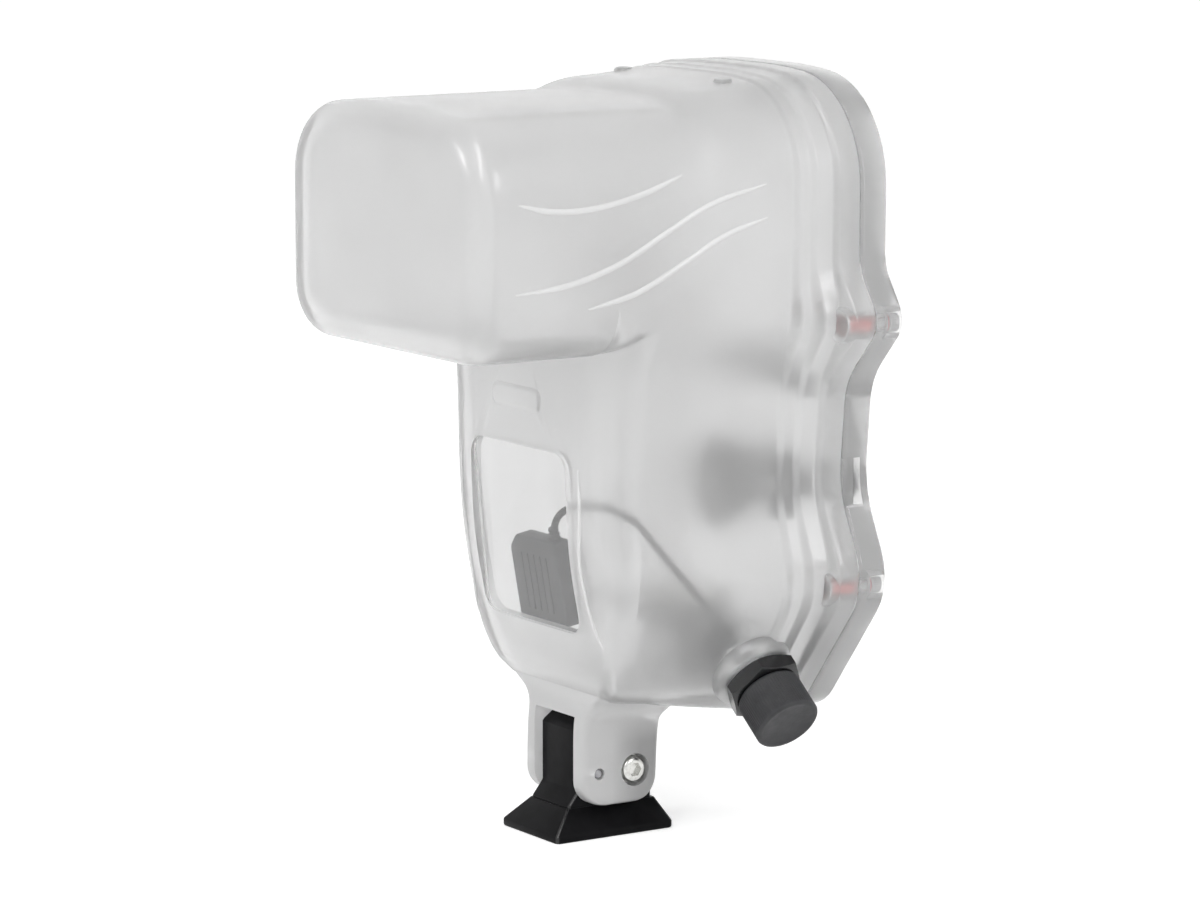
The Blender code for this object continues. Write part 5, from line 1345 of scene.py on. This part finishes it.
def power_control():
    gland("power_gland", POWER_SPOT, KNOB_SHAFT_R)
    rotary_shaft("power_shaft", POWER_SPOT, -0.0185, 0.0036)
    x, z = POWER_SPOT
    profile = [*mm((0, 6), (6.4, 6), (7, 5.8), (7.4, 5.3)), *fluted(0.0075, 0.00025, 36, 0.0050, 0.0008)]
    profile += mm((7.3, 0.4), (7, 0.3), (0, 0.3))
    grip = slab(0.0035, 0.017, 0.0042, 0.0066, 0.0016, 0.0005)
    bore = drum(KNOB_BORE_R, -0.002, 0.0039, 40)
    make("power_knob", turned(profile, 144), (x, CONTROL_FACE, z), BACK, joins=[grip], cuts=[bore])
    outline = mm((-3.5, -11), (-1.2, -11), (-1.2, -4.5), (1.2, -4.5))
    outline += mm((1.2, -11), (3.5, -11), (3.5, 11), (-3.5, 11))
    bends = [0.0008, 0.0004, 0.0011, 0.0011, 0.0004, 0.0008, 0.0030, 0.0030]
    hole = moved(drum(KNOB_BORE_R, -0.002, 0.006, 40), (0, 0, 0), BACK)
    make("power_fork", prism(polygon(outline, bends), 0, 0.004), (x, FORK_FRONT, z), cuts=[hole])


for build in (
    front_shell,
    rear_cover,
    cover_seal,
    mounting_foot,
    foot_fasteners,
    connector,
    connector_cap,
    hot_shoe,
    interface_module,
    leads,
    closures,
    push_buttons,
    select_control,
    power_control,
):
    build()


# Stage, light and camera

WORLD_LIGHT, FLOOR_GLOW = 0.60, 0.45

# Each with its name, its place, its size, its power and the point that it faces
LAMPS = (
    ("key", (0.63, -0.81, 1.20), (0.28, 1.30), 7.2, (0, 0, 0.12)),
    ("front", (-0.55, -1.22, 0.62), (0.35, 0.35), 2.8, (0, 0, 0.08)),
    ("side", (1.4, 0.25, 0.75), (0.4, 0.5), 3.8, (0, 0, 0.12)),
)

# The photograph's own view: how far round from the front and how far up it is, how far off, and its middle
CAMERA_TURN, CAMERA_LIFT, CAMERA_AWAY = math.radians(57), math.radians(8.9), 1.459
CAMERA_AIM, CAMERA_LENS, CAMERA_SENSOR = Vector((0, 0.0046, 0.118)), 142.26, 36


def added(name, data):
    made = bpy.data.objects.new(name, data)
    bpy.context.scene.collection.objects.link(made)
    return made


def seen_by(tree):
    """1 for a ray from the camera or sent on by a shiny or clear surface, 0 for one that lights things."""
    path = node_in(tree, "ShaderNodeLightPath")
    seen = path.outputs["Is Camera Ray"]
    for name in ("Is Glossy Ray", "Is Transmission Ray"):
        feeds = {0: seen, 1: path.outputs[name]}
        seen = node_in(tree, "ShaderNodeMath", feeds, operation="MAXIMUM").outputs[0]
    return seen


def stage():
    made = bmesh.new()
    bmesh.ops.create_grid(made, x_segments=1, y_segments=1, size=6.0)
    mesh = bpy.data.meshes.new("floor")
    made.to_mesh(mesh)
    made.free()
    look = Look("floor_white")
    look.link(look.ramp(look.noise(2.0, 1.0), (0.3, (0.93,) * 3), (0.7, (0.95,) * 3)), "Base Color")
    look.link(look.times(seen_by(look.tree), FLOOR_GLOW), "Emission Strength")
    for key, value in (("Roughness", 0.9), ("Specular IOR Level", 0.1), ("Emission Color", (1, 1, 1, 1))):
        look.shader.inputs[key].default_value = value
    mesh.materials.append(look.made)
    added("floor", mesh)


def world():
    made = bpy.data.worlds.new("studio")
    bpy.context.scene.world = made
    made.use_nodes = True
    tree = made.node_tree
    plain = tree.nodes["Background"]
    plain.inputs["Color"].default_value = (1, 1, 1, 1)
    plain.inputs["Strength"].default_value = WORLD_LIGHT
    white = node_in(tree, "ShaderNodeBackground", {"Color": (1, 1, 1, 1), "Strength": 1.0})
    mix = node_in(tree, "ShaderNodeMixShader", {0: seen_by(tree), 1: plain.outputs[0], 2: white.outputs[0]})
    tree.links.new(mix.outputs[0], tree.nodes["World Output"].inputs["Surface"])


def lamp(name, at, size, power, towards):
    data = bpy.data.lights.new(name, "AREA")
    data.shape = "RECTANGLE"
    data.size, data.size_y = size
    data.energy = power
    made = added(name, data)
    made.location = at
    made.rotation_euler = (Vector(towards) - Vector(at)).to_track_quat("-Z", "Y").to_euler()


def camera():
    flat = math.cos(CAMERA_LIFT)
    towards = Vector((math.sin(CAMERA_TURN) * flat, -math.cos(CAMERA_TURN) * flat, math.sin(CAMERA_LIFT)))
    data = bpy.data.cameras.new("camera")
    data.lens, data.sensor_width = CAMERA_LENS, CAMERA_SENSOR
    made = added("camera", data)
    made.location = CAMERA_AIM + towards * CAMERA_AWAY
    made.rotation_mode = "QUATERNION"
    made.rotation_quaternion = (-towards).to_track_quat("-Z", "Y")
    bpy.context.scene.camera = made


stage()
world()
for row in LAMPS:
    lamp(*row)
camera()
bpy.context.scene.view_settings.view_transform = "Standard"
